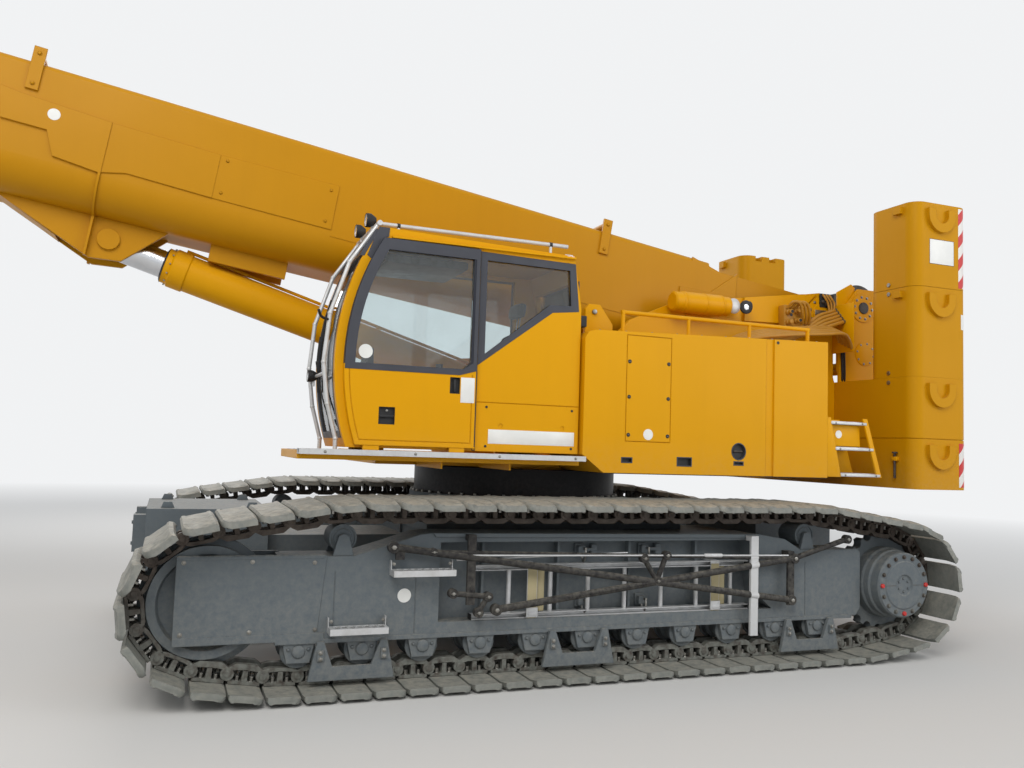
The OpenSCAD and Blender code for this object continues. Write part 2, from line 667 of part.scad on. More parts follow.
module hood_left() {
    // Pockets in the outer face. Columns: rear end, front end, lower edge, upper edge
    pockets = [[-422, -331, 1578, 1614], [-982, -848, 1562, 1628], [-1496, -1405, 1581, 1607]];
    panel = [-777, -356, 1745, 2615];
    line = 6;
    lid_y = 1240;
    color(yellow) placed() {
        difference() {
            side_profile([[-2390, 1490], [-166, 1490], [20, 1630], [20, 2560], [-10, 2612], [-70, 2632],
                [-2390, 2700]], 740, side_y);
            for (p = pockets) block([p[0], side_y - 25, p[2]], [p[1], side_y + eps, p[3]]);
            rod_y(-1450, 1695, 67, side_y - 25, side_y + eps);
            // Joint round the service panel
            difference() {
                block([panel[0], side_y - 8, panel[2]], [panel[1], side_y + eps, panel[3]]);
                block([panel[0] + line, side_y - 8 - eps, panel[2] + line],
                    [panel[1] - line, side_y + 2 * eps, panel[3] - line]);
            }
            // Broad joint of the rear panel
            block([-1810, side_y - 16, 1480], [-1725, side_y + eps, 2720]);
            block([-1500, 780, 2520], [-500, lid_y, 2720]);
        }
        // Louvred lid of the cooler in the top
        for (x = [-1480:70:-560]) side_profile([[x, 2560], [x + 12, 2560], [x + 52, 2640], [x + 40, 2640]],
            780 - eps, lid_y + eps);
    }
}

// Place of the engine door: rear edge, front edge, lower edge, upper edge
bay = [-1500, -300, 1620, 2480];
hinge_r = 12;
hinge = [bay[1] + 4, -side_y - hinge_r - seat];
knuckle_h = 80;
module hood_right() {
    grille = [-2290, -1680, 1640, 2520];
    color(yellow) placed() {
        difference() {
            side_profile([[-2390, 1490], [300, 1490], [400, 1630], [400, 2490], [370, 2540], [310, 2562],
                [-2390, 2700]], -side_y, -740);
            block([bay[0] - 100, -side_y + 70, 1540], [bay[1] + 100, -780, bay[3] + 60]);
            block([bay[0], -side_y - eps, bay[2]], [bay[1], -side_y + 71, bay[3]]);
            block([grille[0], -side_y - eps, grille[2]], [grille[1], -side_y + 70, grille[3]]);
            block([-160, -side_y - eps, 1700], [-150, -side_y + 8, 2560]);
        }
        louvres(grille, -side_y + 6, 50);
        for (z = [bay[2] + 100, bay[3] - 180]) {
            block([hinge[0], hinge[1] - hinge_r, z - 30], [hinge[0] + 30, -side_y, z - seat]);
            translate([hinge[0], hinge[1], z - 30]) cylinder(r = hinge_r, h = 30 - seat);
        }
    }
}
// Slanted slats across an opening given by its rear, front, lower and upper edges, y0 at their lower lip
module louvres(edges, y0, depth) {
    for (z = [edges[2] + 10:60:edges[3] - 50])
        translate([edges[0] - eps, 0, 0]) rotate([90, 0, 90]) linear_extrude(edges[1] - edges[0] + 2 * eps)
            polygon([[y0, z], [y0 + 5, z], [y0 + depth, z + 42], [y0 + depth - 5, z + 42]]);
}

module engine_door() {
    vent = [bay[0] + 120, bay[1] - 120, bay[2] + 330, bay[3] - 110];
    color(yellow) placed() {
        difference() {
            block([bay[0] + gap, -side_y, bay[2] + gap], [bay[1] - gap, -side_y + 40, bay[3] - gap]);
            block([vent[0], -side_y - eps, vent[2]], [vent[1], -side_y + 41, vent[3]]);
            block([bay[0] + 60, -side_y - eps, bay[2] + 120], [bay[0] + 200, -side_y + 18, bay[2] + 200]);
        }
        louvres(vent, -side_y + 2, 34);
        for (z = [bay[2] + 100, bay[3] - 180]) {
            translate([hinge[0], hinge[1], z]) cylinder(r = hinge_r, h = knuckle_h);
            block([hinge[0] - 60, -side_y - 16, z], [hinge[0] - 4, -side_y, z + knuckle_h]);
        }
    }
}

module engine() {
    color(black) placed() block([bay[0] + 20, -1400, 1540], [bay[1] - 60, -820, 2350]);
}

module cw_block(low, high) {
    translate([0, 0, low[2]]) linear_extrude(high[2] - low[2]) union() {
        translate([low[0] + cw_r, low[1]]) square([high[0] - low[0] - 2 * cw_r, high[1] - low[1]]);
        translate([low[0], low[1] + cw_r]) square([high[0] - low[0], high[1] - low[1] - 2 * cw_r]);
        for (x = [low[0] + cw_r, high[0] - cw_r], y = [low[1] + cw_r, high[1] - cw_r])
            translate([x, y]) circle(r = cw_r);
    }
}
// Open lifting lug on a counterweight's side, its upper edge at the height top
module cw_lug(top) {
    hole = 78;
    x = -cw_front - cw_depth / 2 + 30;
    z = top - 58;
    difference() {
        union() {
            rod_y(x, z, cw_lug_r, cw_half - eps, cw_half + 36);
            block([x - cw_lug_r, cw_half - eps, z], [x + cw_lug_r, cw_half + 36, top]);
        }
        rod_y(x, z, hole, cw_half, cw_half + 37);
        block([x - hole, cw_half, z], [x + hole, cw_half + 37, z + cw_lug_r + eps]);
        block([x - cw_lug_r - eps, cw_half - 2, top], [x + cw_lug_r + eps, cw_half + 37, z + cw_lug_r + eps]);
    }
}

module counterweight_slabs() {
    back = -cw_front - cw_depth;
    color(yellow) placed() {
        difference() {
            cw_block([back, -cw_half, cw_z0], [-cw_front, cw_half, cw_z1 - 4]);
            block([back - eps, -500, cw_z0 - eps], [back + 90, 500, cw_z0 + 220]);
        }
        // Joint between the two slabs
        cw_block([back + 6, -cw_half + 6, cw_z1 - 4 - eps], [-cw_front - 6, cw_half - 6, cw_z1 + 4]);
        cw_block([back, -cw_half, cw_z1 + 4 - eps], [-cw_front, cw_half, cw_z2]);
        both_sides() {
            cw_lug(cw_z1 - 57);
            cw_lug(cw_z2 - 57);
        }
    }
}

module counterweights() {
    back = -cw_front - cw_depth;
    inner = cw_half - cw_block_w;
    color(yellow) placed() both_sides() {
        for (tier = [[cw_z2, cw_z3 - 3], [cw_z3, cw_z4]]) {
            difference() {
                cw_block([back, inner, tier[0]], [-cw_front, cw_half, tier[1]]);
                // Seat of the spreader beam in each block's top
                block([back + 200, inner - eps, tier[1] - 60], [back + 290, inner + 90, tier[1] + eps]);
                block([back + 400, inner - eps, tier[1] - 60], [back + 490, inner + 90, tier[1] + eps]);
            }
            cw_lug(tier[1] - 57);
            block([-cw_front - eps, cw_half - 235, tier[1] - 97], [-cw_front + 38, cw_half - 145, tier[1] - 31]);
        }
    }
}

module winch_frame() {
    color(yellow) placed() {
        both_sides() difference() {
            union() {
                side_profile([[-winch_back - 230, cw_z2], [-cw_front - 20, cw_z2], [-cw_front - 20, 2960],
                    [-cw_front - 100, 3240], [-winch_back + 60, 3437], [-winch_back - 145, 3437],
                    [-winch_back - 230, 3300]], 580, 610);
                rod_y(-winch_back, winch_z, 150, 575, 620);
            }
            rod_y(-winch_back, winch_z, 60 + play, 570, 630);
            rod_y(-winch_back - 30, 2760, 110, 570, 630);
        }
        for (x = [-winch_back - 200, -cw_front - 90]) rod_y(x, 2620, 34, -581, 581);
    }
}

module winch_drum() {
    color(black) placed() {
        translate([-winch_back, 0, winch_z]) rotate([90, 0, 0]) rotate_extrude() polygon([[0, -630], [60, -630],
            [60, -540], [drum_r, -540], [drum_r, -515], [215, -500], [190, -500], [190, 500], [215, 500],
            [drum_r, 515], [drum_r, 540], [60, 540], [60, 630], [0, 630]]);
    }
}

// Columns: front end, rear end and height of each tread
tread_rows = [[-2430, -2830, 2000], [-2480, -2910, 1770], [-2540, -2990, 1535]];
module rear_steps() {
    outer = side_y - 20;
    color(silver) placed() {
        for (t = tread_rows) difference() {
            block([t[1], 1160 - eps, t[2] - 30], [t[0], outer + eps, t[2]]);
            for (x = [t[1] + 30:60:t[0] - 60], y = [1190:100:1400])
                block([x, y, t[2] - 31], [x + 36, y + 70, t[2] + eps]);
        }
        for (y = [1140, outer]) side_profile([[-2390, 1500], [-3010, 1500], [-2990, 1560], [-2840, 2030],
            [-2390, 2030]], y, y + 20);
    }
}

module deck_rail() {
    y = 1300;
    top = 2832;
    ends = [-430, -2340];
    color(yellow) placed() {
        pipe([[ends[0], y, rail_foot(ends[0])], [ends[0], y, top], [ends[1], y, top], [ends[1], y, rail_foot(ends[1])]],
            18);
        for (x = [-1070, -1700]) rod_z(x, y, 16, rail_foot(x), top);
    }
}
// Height of the left cover's top at a distance ahead of the slewing axis
function hood_top(x) = 2632 + (2700 - 2632) * (-70 - x) / (2390 - 70);
// Height of a rail post's foot, clear of the slope behind it
function rail_foot(x) = hood_top(x - 20) + seat;

module deck_tube() {
    y = cheek_y + 135;
    color(yellow) placed() {
        translate([-1880, y, 3092]) rotate([0, 90, 0]) rotate_extrude() polygon([[0, 0], [92, 0], [92, 68],
            [100, 76], [100, 520], [94, 530], [94, 600], [78, 614], [0, 614]]);
        block([-1700, cheek_y, 3000], [-1500, cheek_y + 60, 3100]);
        // Lamp and its arm behind the tube
        block([-2120, y - 16, 3086], [-1879, y + 16, 3100]);
        rod_x(y, 3100, 46, -1990, -1935);
        rod_x(y, 3108, 58, -2135, -2095);
    }
}

module cab_side(inset) {
    polygon([[cab_back + inset, cab_z + inset], [cab_front + 50, cab_z + inset],
        [cab_front + 50, roof_z - inset], [cab_front - 330, roof_z - inset],
        [cab_back + inset + 70, roof_z - roof_fall - inset], [cab_back + inset, 2800]]);
}
module cab_form(inset, y0, y1) {
    intersection() {
        translate([0, y1, 0]) rotate([90, 0, 0]) linear_extrude(y1 - y0) cab_side(inset);
        rod_y(cab_front - cab_r, 2250, cab_r - inset, y0 - eps, y1 + eps, $fn = 256);
    }
}

shell_y = side_y - door_t - gap;
sill_top = 1615;
// Height of the roof's top at a distance ahead of the slewing axis
function roof_at(x) = roof_z - roof_fall * (cab_front - 330 - x) / (cab_front - 330 - cab_back - 70);
window_low = 2240;
door_top = 3180;
screen_low = 1730;
module door_outline(inset) {
    intersection() {
        polygon([[door_back + inset, cab_z + 20 + inset], [cab_front, cab_z + 20 + inset],
            [cab_front, door_top - inset], [door_back + inset, door_top - 8 - inset]]);
        translate([cab_front - cab_r, 2250]) circle(r = cab_r - 62 - inset, $fn = 128);
    }
}
module door_slab(inset, y0, y1) {
    translate([0, y1, 0]) rotate([90, 0, 0]) linear_extrude(y1 - y0) door_outline(inset);
}
module door_window(inset, y0, y1) {
    intersection() {
        door_slab(50 + inset, y0, y1);
        block([door_back, y0 - eps, window_low + inset], [cab_front, y1 + eps, 3110 - inset]);
    }
}
boom_side_window = [[300, 2300], [1850, 2300], [1850, 2900], [1700, 3120], [300, 3120]];
// The same outline with each corner moved by d towards the middle
function drawn_in(points, d) =
    let (m = [for (p = points) 1] * points / len(points)) [for (p = points) p + d * (m - p) / norm(m - p)];
quarter_window = [[870, 3120], [130, 3110], [110, 2795], [308, 2785], [870, 2340]];

module cab_shell() {
    seam = 6;
    color(yellow) placed() {
        difference() {
            cab_form(0, cab_in, shell_y);
            cab_form(cab_t, cab_in + cab_t, shell_y - cab_t);
            door_slab(30, shell_y - 2 * cab_t, shell_y + eps);
            side_profile(quarter_window, shell_y - 2 * cab_t, shell_y + eps);
            side_profile(boom_side_window, cab_in - eps, cab_in + 2 * cab_t);
            block([1500, cab_in + 90, screen_low], [cab_front + 50, shell_y - 90, 3120]);
            block([-10, cab_in + 90, 2450], [200, shell_y - 90, 3000]);
            block([-10, cab_in - eps, roof_z - roof_fall - 60], [2100, side_y, roof_z + 10]);
            // Joint over the lower box behind the door
            block([cab_back - eps, shell_y - seam, 2001], [door_back - 20, shell_y + eps, 2007]);
            for (x = [180, 700]) rod_y(x, 1830, 16, shell_y - seam, shell_y + eps);
            for (z = [1760:50:1960]) block([cab_back - eps, 740, z], [cab_back + 20, 1240, z + 24]);
        }
    }
}

module cab_roof() {
    eaves = roof_z - roof_fall - 60;
    color(yellow) placed() {
        difference() {
            cab_form(0, cab_in, shell_y);
            block([-10, cab_in - 10, cab_z - 10], [2100, side_y, eaves]);
        }
        // Rail that guides the door's upper edge
        block([cab_back + 70, shell_y - eps, door_top + gap], [door_back + 690, shell_y + 30, door_top + gap + 16]);
        // Roof hatch with its rim
        difference() {
            side_profile([[450, roof_at(450) - 4], [1150, roof_at(1150) - 4], [1150, roof_at(1150) + 22],
                [450, roof_at(450) + 22]], cab_in + 180, shell_y - 180);
            side_profile([[500, roof_at(500) + 14], [1100, roof_at(1100) + 14], [1100, roof_at(1100) + 30],
                [500, roof_at(500) + 30]], cab_in + 230, shell_y - 230);
        }
    }
}

module cab_panes() {
    color(glass) placed() {
        intersection() {
            difference() {
                rod_y(cab_front - cab_r, 2250, cab_r - 12, cab_in + 90 + seat, shell_y - 90 - seat, $fn = 256);
                rod_y(cab_front - cab_r, 2250, cab_r - 12 - pane_t, cab_in + 80, shell_y - 80, $fn = 256);
            }
            block([1500, cab_in + 90, screen_low + seat], [cab_front + 50, shell_y - 90, 3120 - seat]);
        }
        side_profile(drawn_in(quarter_window, 1), shell_y - 20 - pane_t, shell_y - 20);
        side_profile(drawn_in(boom_side_window, 1), cab_in + 20, cab_in + 20 + pane_t);
        block([cab_back + 20, cab_in + 90 + seat, 2450 + seat], [cab_back + 20 + pane_t, shell_y - 90 - seat,
            3000 - seat]);
    }
}

module cab_door() {
    bar_low = window_low + 20;
    color(yellow) placed() {
        difference() {
            door_slab(0, side_y - door_t, side_y);
            door_window(0, side_y - door_t - eps, side_y + eps);
            // Pockets of the handle and the latch, and the pressed joint of the lower panel
            block([1545, side_y - 24, 1805], [1664, side_y + eps, 1931]);
            block([1055, side_y - 24, 2055], [1132, side_y + eps, 2177]);
            difference() {
                door_slab(34, side_y - 5, side_y + eps);
                door_slab(40, side_y - 6, side_y + 2 * eps);
                block([door_back, side_y - 7, bar_low - 60], [cab_front, side_y + 3, 3200]);
            }
        }
        // Pull bars in the pockets
        block([1552, side_y - 25, 1856], [1657, side_y - 6, 1874]);
        block([1084, side_y - 25, 2070], [1102, side_y - 6, 2162]);
        for (x = [1000, 1650]) block([x, side_y - 30, sill_top + seat], [x + 120, side_y - 5, cab_z + 25]);
    }
}
module door_pane() {
    color(glass) placed() door_window(0.3, side_y - 20 - pane_t, side_y - 20);
}

module cab_seat() {
    y0 = 830;
    y1 = 1270;
    base = cab_z + cab_t;
    color(charcoal) placed() {
        side_profile([[620, base], [1010, base], [950, 1800], [960, 1950], [640, 1950], [660, 1800]], y0 + 60, y1 - 60);
        translate([0, y1, 0]) rotate([90, 0, 0]) linear_extrude(y1 - y0) {
            translate([1030, 2010]) circle(r = 60);
            polygon([[560, 1950], [1030, 1950], [1030, 2070], [600, 2060]]);
            polygon([[480, 2040], [560, 1950], [600, 2060], [500, 2620], [390, 2600]]);
            translate([445, 2610]) circle(r = 56);
        }
        side_profile([[440, 2640], [460, 2640], [440, 2760], [420, 2760]], 1020, 1080);
        translate([420, 1050, 2760]) rotate([90, 0, 0]) translate([0, 0, -130]) linear_extrude(260) {
            circle(r = 48);
            translate([-30, 40]) circle(r = 48);
            polygon([[-48, 0], [48, 0], [18, 40], [-78, 40]]);
        }
    }
}

module cab_console() {
    floor_z = cab_z + cab_t;
    color(charcoal) placed() {
        for (y = [700, 1290]) {
            side_profile([[760, floor_z], [1120, floor_z], [1090, 2080], [1250, 2130], [1240, 2200], [700, 2230],
                [690, 2150], [800, 2080]], y, y + 100);
            translate([1170, y + 50, 2150]) cylinder(r = 16, h = 80);
            translate([1170, y + 50, 2215]) cylinder(r = 27, h = 70);
        }
        side_profile([[1560, floor_z], [1700, floor_z], [1690, 2150], [1640, 2360], [1600, 2350], [1590, 2150]],
            700, 960);
        for (y = [990, 1120]) side_profile([[1560, floor_z], [1740, floor_z], [1730, floor_z + 30],
            [1600, floor_z + 140], [1560, floor_z + 130]], y, y + 70);
    }
}

module cab_rails() {
    low_z = 1600 + seat;
    top_z = 3300;
    color(silver) placed() {
        for (y = [cab_in + 100, shell_y - 60])
            bent_pipe([[1700, y, top_z], [1905, y, 2990], [2030, y, 2600], [2060, y, 2240], [2020, y, 1940],
                [1950, y, 1690], [1950, y, low_z]], 16);
        bar([1700, cab_in + 60, top_z], [1700, shell_y - 20, top_z], 20);
        bar([1700, shell_y - 60, top_z], [150, shell_y - 60, top_z], 16);
        for (x = [300, 1550]) bar([x, shell_y - 60, roof_at(x) + 1], [x, shell_y - 60, top_z], 12);
        // Work lamps on the roof rail and on the front bar
        for (y = [cab_in + 240, shell_y - 240]) work_lamp([1730, y, top_z + 62], 52);
        bar([2050, cab_in + 100, 2161], [2050, shell_y - 60, 2161], 12);
        work_lamp([2078, 1000, 2161], 44);
    }
}
// Round lamp that looks ahead, its middle at a given place
module work_lamp(at, r) {
    translate(at) rotate([0, 90, 0]) rotate_extrude() polygon([[0, -40], [r * 0.5, -40], [r * 0.9, -10], [r, 0],
        [r, 34], [r - 6, 34], [r - 6, 26], [0, 26]]);
    translate(at) rod_z(-14, 0, 9, -r - 34, -r * 0.7);
}

module cab_sill() {
    color(silver) placed() difference() {
        block([30, side_y - 20, sill_top - 40], [2230, side_y + 90, sill_top]);
        block([30 - eps, side_y - 8, sill_top - 34], [2230 + eps, side_y + 84, sill_top - 6]);
        for (x = [60:70:2160]) block([x, side_y + 30, sill_top - 7], [x + 44, side_y + 74, sill_top + eps]);
    }
}

// Boom
module boom_outline(w, h, edge, low_r) {
    for (side = [-1, 1]) {
        translate([side * (w / 2 - low_r), low_r]) circle(r = low_r, $fn = 96);
        translate([side * (w / 2 - edge), h - edge]) circle(r = edge);
    }
    translate([-w / 2, low_r]) square([w, h - low_r - edge]);
    translate([-w / 2 + edge, low_r]) square([w - 2 * edge, h - low_r]);
    translate([-w / 2 + low_r, 0]) square([w - 2 * low_r, low_r + eps]);
}
module boom_tube(w, h, low_r, wall, from, to) {
    translate([from, 0, boom_mid - h / 2]) rotate([90, 0, 90]) linear_extrude(to - from) difference() {
        boom_outline(w, h, boom_edge, low_r);
        translate([0, wall]) boom_outline(w - 2 * wall, h - 2 * wall, boom_edge - wall / 2, low_r - wall);
    }
}
// Collar round section i, standing proud by t, between two places along the boom
module collar(i, t, from, to) {
    boom_tube(section_w[i] + 2 * t, section_h[i] + 2 * t, section_low_r[i] + t, boom_wall + t, from, to);
}

module boom_base() {
    w = section_w[0];
    low = boom_top - boom_h;
    ear = [[tail_len + 200, boom_top], [1170, 160], [150, 175], [0, 190], [-150, 110], [-180, 0], [-120, -140],
        [tail_len - 200, low + 60], [tail_len + 200, low + 150]];
    rib_x = lug_along + 133;
    plate_x = [4987, 5960];
    color(boom_yellow) placed() boomed() {
        boom_tube(w, section_h[0], section_low_r[0], boom_wall, tail_len, base_front);
        for (x = [base_front - 150, base_front - 420]) collar(0, 25, x, x + 150);
        // Doubling plates on the sides, the casing ahead of the lug and the rib behind it
        both_sides() {
            side_profile([[plate_x[0], -449], [plate_x[1], -449], [plate_x[1], -84], [plate_x[0], -63]], w / 2 - 4,
                w / 2 + 8);
            side_profile([[plate_x[1], -449], [6608, -436], [rib_x, -480], [rib_x, -76], [plate_x[1], -84]],
                w / 2 - 4, w / 2 + 12);
            side_profile([[rib_x, -490], [7128, -454], [7205, -269], [7522, -268], [7540, -179], [7574, -26],
                [7424, -45], [rib_x, -76]], w / 2 - 4, w / 2 + 20);
            side_profile([[tail_len - 350, -60], [976, 187], [1252, -72], [1600, -90], [1600, -420],
                [tail_len - 250, -520]], w / 2 - 4, w / 2 + 14);
        }
        difference() {
            collar(0, 20, rib_x, rib_x + 20);
            block([rib_x - eps, -w, -93], [rib_x + 21, w, boom_top + 100]);
            block([rib_x - eps, -lug_gap - lug_t - 62, low - 30], [rib_x + 21, lug_gap + lug_t + 62, low + 5]);
        }
        // Bracket under the boom, over the luffing cylinder
        both_sides() block([5251, 130, low - 138], [5886, 170, low + eps]);
        block([5307, -131, low - 70], [5488, 131, low + eps]);
        // Posts and rollers that guide the rope
        for (x = rope_guides) {
            both_sides() block([x - 45, w / 2 - 2, boom_top - 230], [x + 45, w / 2 + 22, guide_z + 50]);
            rod_y(x, guide_z, guide_r, -w / 2 + eps, w / 2 - eps);
        }
        difference() {
            both_sides() side_profile(ear, w / 2 - 60, w / 2);
            rod_y(0, 0, pivot_r + play, -w, w);
            block([tail_len, -w / 2 + boom_wall, low], [tail_len + 300, w / 2 - boom_wall, boom_top]);
        }
        // Hub on the pivot pin, with the sheave that leads the rope up from the winch
        rotate([90, 0, 0]) rotate_extrude() polygon([[pivot_r + play, 10 - w / 2], [170, 10 - w / 2],
            [170, -40], [lead_r + 22, -30], [lead_r, -rope_r - 2], [lead_r, rope_r + 2], [lead_r + 22, 30],
            [170, 40], [170, w / 2 - 10], [pivot_r + play, w / 2 - 10]]);
    }
}

module boom_lug() {
    low = boom_top - boom_h;
    plate = [[lug_along - 420, low], [lug_along - 120, -lug_drop - 150], [lug_along + 113, -lug_drop - 176],
        [lug_along + 758, low - 45], [lug_along + 853, low]];
    color(boom_yellow) placed() boomed() {
        both_sides() {
            side_profile(plate, lug_gap, lug_gap + lug_t);
            rod_y(lug_along, -lug_drop, 85, lug_gap + lug_t - eps, lug_gap + lug_t + 25);
            block([lug_along + 133, lug_gap + lug_t - eps, -lug_drop - 170], [lug_along + 153, lug_gap + lug_t + 60, low]);
        }
        // Closing plate between the lugs, ahead of the eye
        side_profile([[lug_along + 380, -lug_drop - 62], [lug_along + 758, low - 45], [lug_along + 853, low],
            [lug_along + 800, low], [lug_along + 750, low - 24], [lug_along + 388, -lug_drop - 42]],
            -lug_gap - eps, lug_gap + eps);
    }
}

module tele(i) {
    color(boom_yellow) placed() boomed() {
        collar(i, 0, tail_len + 50, section_front[i]);
        collar(i, 20, section_front[i] - tele_step + 12, section_front[i] - 60);
        collar(i, 14, section_front[i] - 60 - eps, section_front[i]);
    }
}

module head_plates() {
    low = boom_mid - section_h[tele_count] / 2;
    top = boom_mid + section_h[tele_count] / 2;
    front = section_front[tele_count];
    axle = [boom_len, -head_drop];
    lead = [front + 230, top - 70];
    color(boom_yellow) placed() boomed() {
        both_sides() difference() {
            union() {
                side_profile([[front, top], [front + 350, top - 60], [boom_len + 165, -head_drop + 60],
                    [boom_len + 150, -head_drop - 80], [boom_len - 120, -head_drop - 110], [front, low - 60]],
                    200, 240);
                rod_y(axle[0], axle[1], 165, 200, 240);
                rod_y(axle[0], axle[1], 95, 239, 262);
                for (x = [front + 60, front + 330]) side_profile([[x, low + 100], [x + 16, low + 100],
                    [x + 16, top - 130], [x, top - 130]], 239, 275);
            }
            rod_y(axle[0], axle[1], 50 + play, 190, 270);
            rod_y(front + 200, top - 250, jib_r, 190, 250);
            rod_y(front + 200, low + 120, jib_r, 190, 250);
        }
        block([front - 30, -201, top - 40], [front + 60, 201, top - 12]);
        rod_y(front + 320, low + 20, 40, -201, 201);
        // Lead sheave that takes the rope over the head
        translate([lead[0], 0, lead[1]]) rotate([90, 0, 0]) grooved(110, 50, 20);
        rod_y(lead[0], lead[1], 22, -201, 201);
    }
}
// Grooved sheave on the Z axis: outer radius, width, radius of its hole
module grooved(r, width, hole) {
    half = width / 2;
    rotate_extrude($fn = 96) polygon([[hole, -half], [hole + 30, -half], [hole + 40, 8 - half], [r - 40, 8 - half],
        [r - 32, -half], [r, -half], [r, 4 - half], [r - 18, -rope_r], [r - 18, rope_r], [r, half - 4],
        [r, half], [r - 32, half], [r - 40, half - 8], [hole + 40, half - 8], [hole + 30, half], [hole, half]]);
}

module head_sheaves() {
    color(black) placed() translate([head[0], 0, head[1]]) {
        for (y = [-150, -50, 50, 150]) translate([0, y, 0]) rotate([90, 0, 0]) grooved(sheave_r, 56, 49);
        rod_y(0, 0, 50, -239, 239);
    }
}

module hoist_rope() {
    line = guide_z + guide_r + rope_r + seat;
    rise = asin((line - lead_r - rope_r - seat) / rope_guides[0]);
    leave = (lead_r + rope_r + seat) * [-sin(rise), cos(rise)];
    color(black) placed() boomed() {
        bar([leave[0], 0, leave[1]], [rope_guides[0] - eps, 0, line], rope_r);
        bar([rope_guides[0] + eps, 0, line], [base_front, 0, line], rope_r);
    }
}

module hook_block() {
    fall_x = sheave_r + rope_r + seat;
    axle_z = -fall_len - 120;
    cross_z = axle_z - sheave_r - 90;
    hook_z = cross_z - 270;
    color(black) placed() translate([head[0], 0, head[1]]) {
        for (x = [-fall_x, fall_x], y = [-150, 150]) rod_z(x, y, rope_r, axle_z, 0);
        // Cheeks with rounded ends
        for (y = [-210, 190]) difference() {
            translate([0, y + 20, 0]) rotate([90, 0, 0]) linear_extrude(20) {
                translate([0, axle_z]) circle(r = sheave_r + 12);
                polygon([[-sheave_r - 8, axle_z - 40], [sheave_r + 8, axle_z - 40], [130, cross_z - 60],
                    [-130, cross_z - 60]]);
            }
            for (x = [-150, 150]) rod_y(x, axle_z + 80, 40, y - eps, y + 21);
        }
        for (y = [-150, -50, 50, 150]) translate([0, y, axle_z]) rotate([90, 0, 0]) grooved(sheave_r, 56, 39);
        rod_y(0, axle_z, 40, -215, 215);
        block([-110, -190 - eps, cross_z - 50], [110, 190 + eps, cross_z + 50]);
        rod_z(0, 0, 48, hook_z + 90, cross_z);
        // Hook
        translate([0, 30, 0]) rotate([90, 0, 0]) linear_extrude(60) difference() {
            union() {
                translate([0, hook_z]) circle(r = 135);
                translate([-40, hook_z + 60]) square([80, 120]);
            }
            translate([8, hook_z + 2]) circle(r = 66);
            polygon([[8, hook_z + 10], [150, hook_z - 10], [150, hook_z + 100], [52, hook_z + 100]]);
        }
    }
}
module rod_z(x, y, r, z0, z1) { translate([x, y, z0]) cylinder(r = r, h = z1 - z0); }

module luff_barrel() {
    color(yellow) placed() luffed() {
        rotate([0, 90, 0]) rotate_extrude($fn = 96) polygon([[0, 0], [barrel_r, 0], [barrel_r, barrel_len - 190],
            [barrel_r + 10, barrel_len - 180], [barrel_r + 10, barrel_len - 60], [barrel_r - 8, barrel_len - 44],
            [barrel_r - 8, barrel_len], [rod_r + play, barrel_len], [rod_r + play, 200], [0, 200]]);
        rod_y(0, 0, 150, -foot_y + 6, foot_y - 6);
        rod_y(0, 0, foot_pin, -foot_y - 50, foot_y + 50);
        // Oil pipe along the barrel, in two clips
        translate([0, 0, barrel_r + 22]) rod_x(0, 0, 14, 260, barrel_len - 120);
        for (x = [700, 2400]) block([x, -22, barrel_r - 8], [x + 40, 22, barrel_r + 30]);
        block([250, -18, barrel_r - 10], [282, 18, barrel_r + 42]);
    }
}

module luff_rod() {
    color(chrome) placed() luffed() {
        rod_x(0, 0, rod_r, 300, luff_len - 60);
        rod_y(luff_len, 0, eye_r, -lug_gap + 6, lug_gap - 6);
    }
}

carbody();
track_frame();  // track_frame_left
mirror([0, 1, 0]) track_frame();  // track_frame_right
track();  // track_left
mirror([0, 1, 0]) track();  // track_right
idlers();
sprockets();
bottom_rollers();
carrier_rollers();
track_guards();
slewing_ring();
track_steps();
stowed_ladder();
stowed_struts();
turntable();
cylinder_foot();
deck_plates();
hood_left();
hood_right();
engine_door();
engine();
counterweight_slabs();
counterweights();
winch_frame();
winch_drum();
rear_steps();
deck_rail();
deck_tube();
cab_shell();
cab_roof();
cab_panes();
cab_door();
door_pane();
cab_seat();
cab_console();
cab_rails();
cab_sill();
boom_base();
boom_lug();
tele(1);  // tele_1
tele(2);  // tele_2
tele(3);  // tele_3
tele(4);  // tele_4
union() {  // tele_5
    tele(5);
    head_plates();
}
head_sheaves();
hoist_rope();
hook_block();
luff_barrel();
luff_rod();
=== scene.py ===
"""Looks of a telescopic-boom crawler crane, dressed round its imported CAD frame.

Metres. +X is ahead, +Y is the cab side, +Z is up. A plain (x, y, z) is measured from the slewing
axis. boomed() and luffed() give places along the parked boom and its cylinder.
"""
from functools import cached_property
from itertools import product
from math import asin, atan2, copysign, cos, dist, exp, pi, radians, sin, sqrt

import bmesh
import bpy
from mathutils import Matrix, Vector


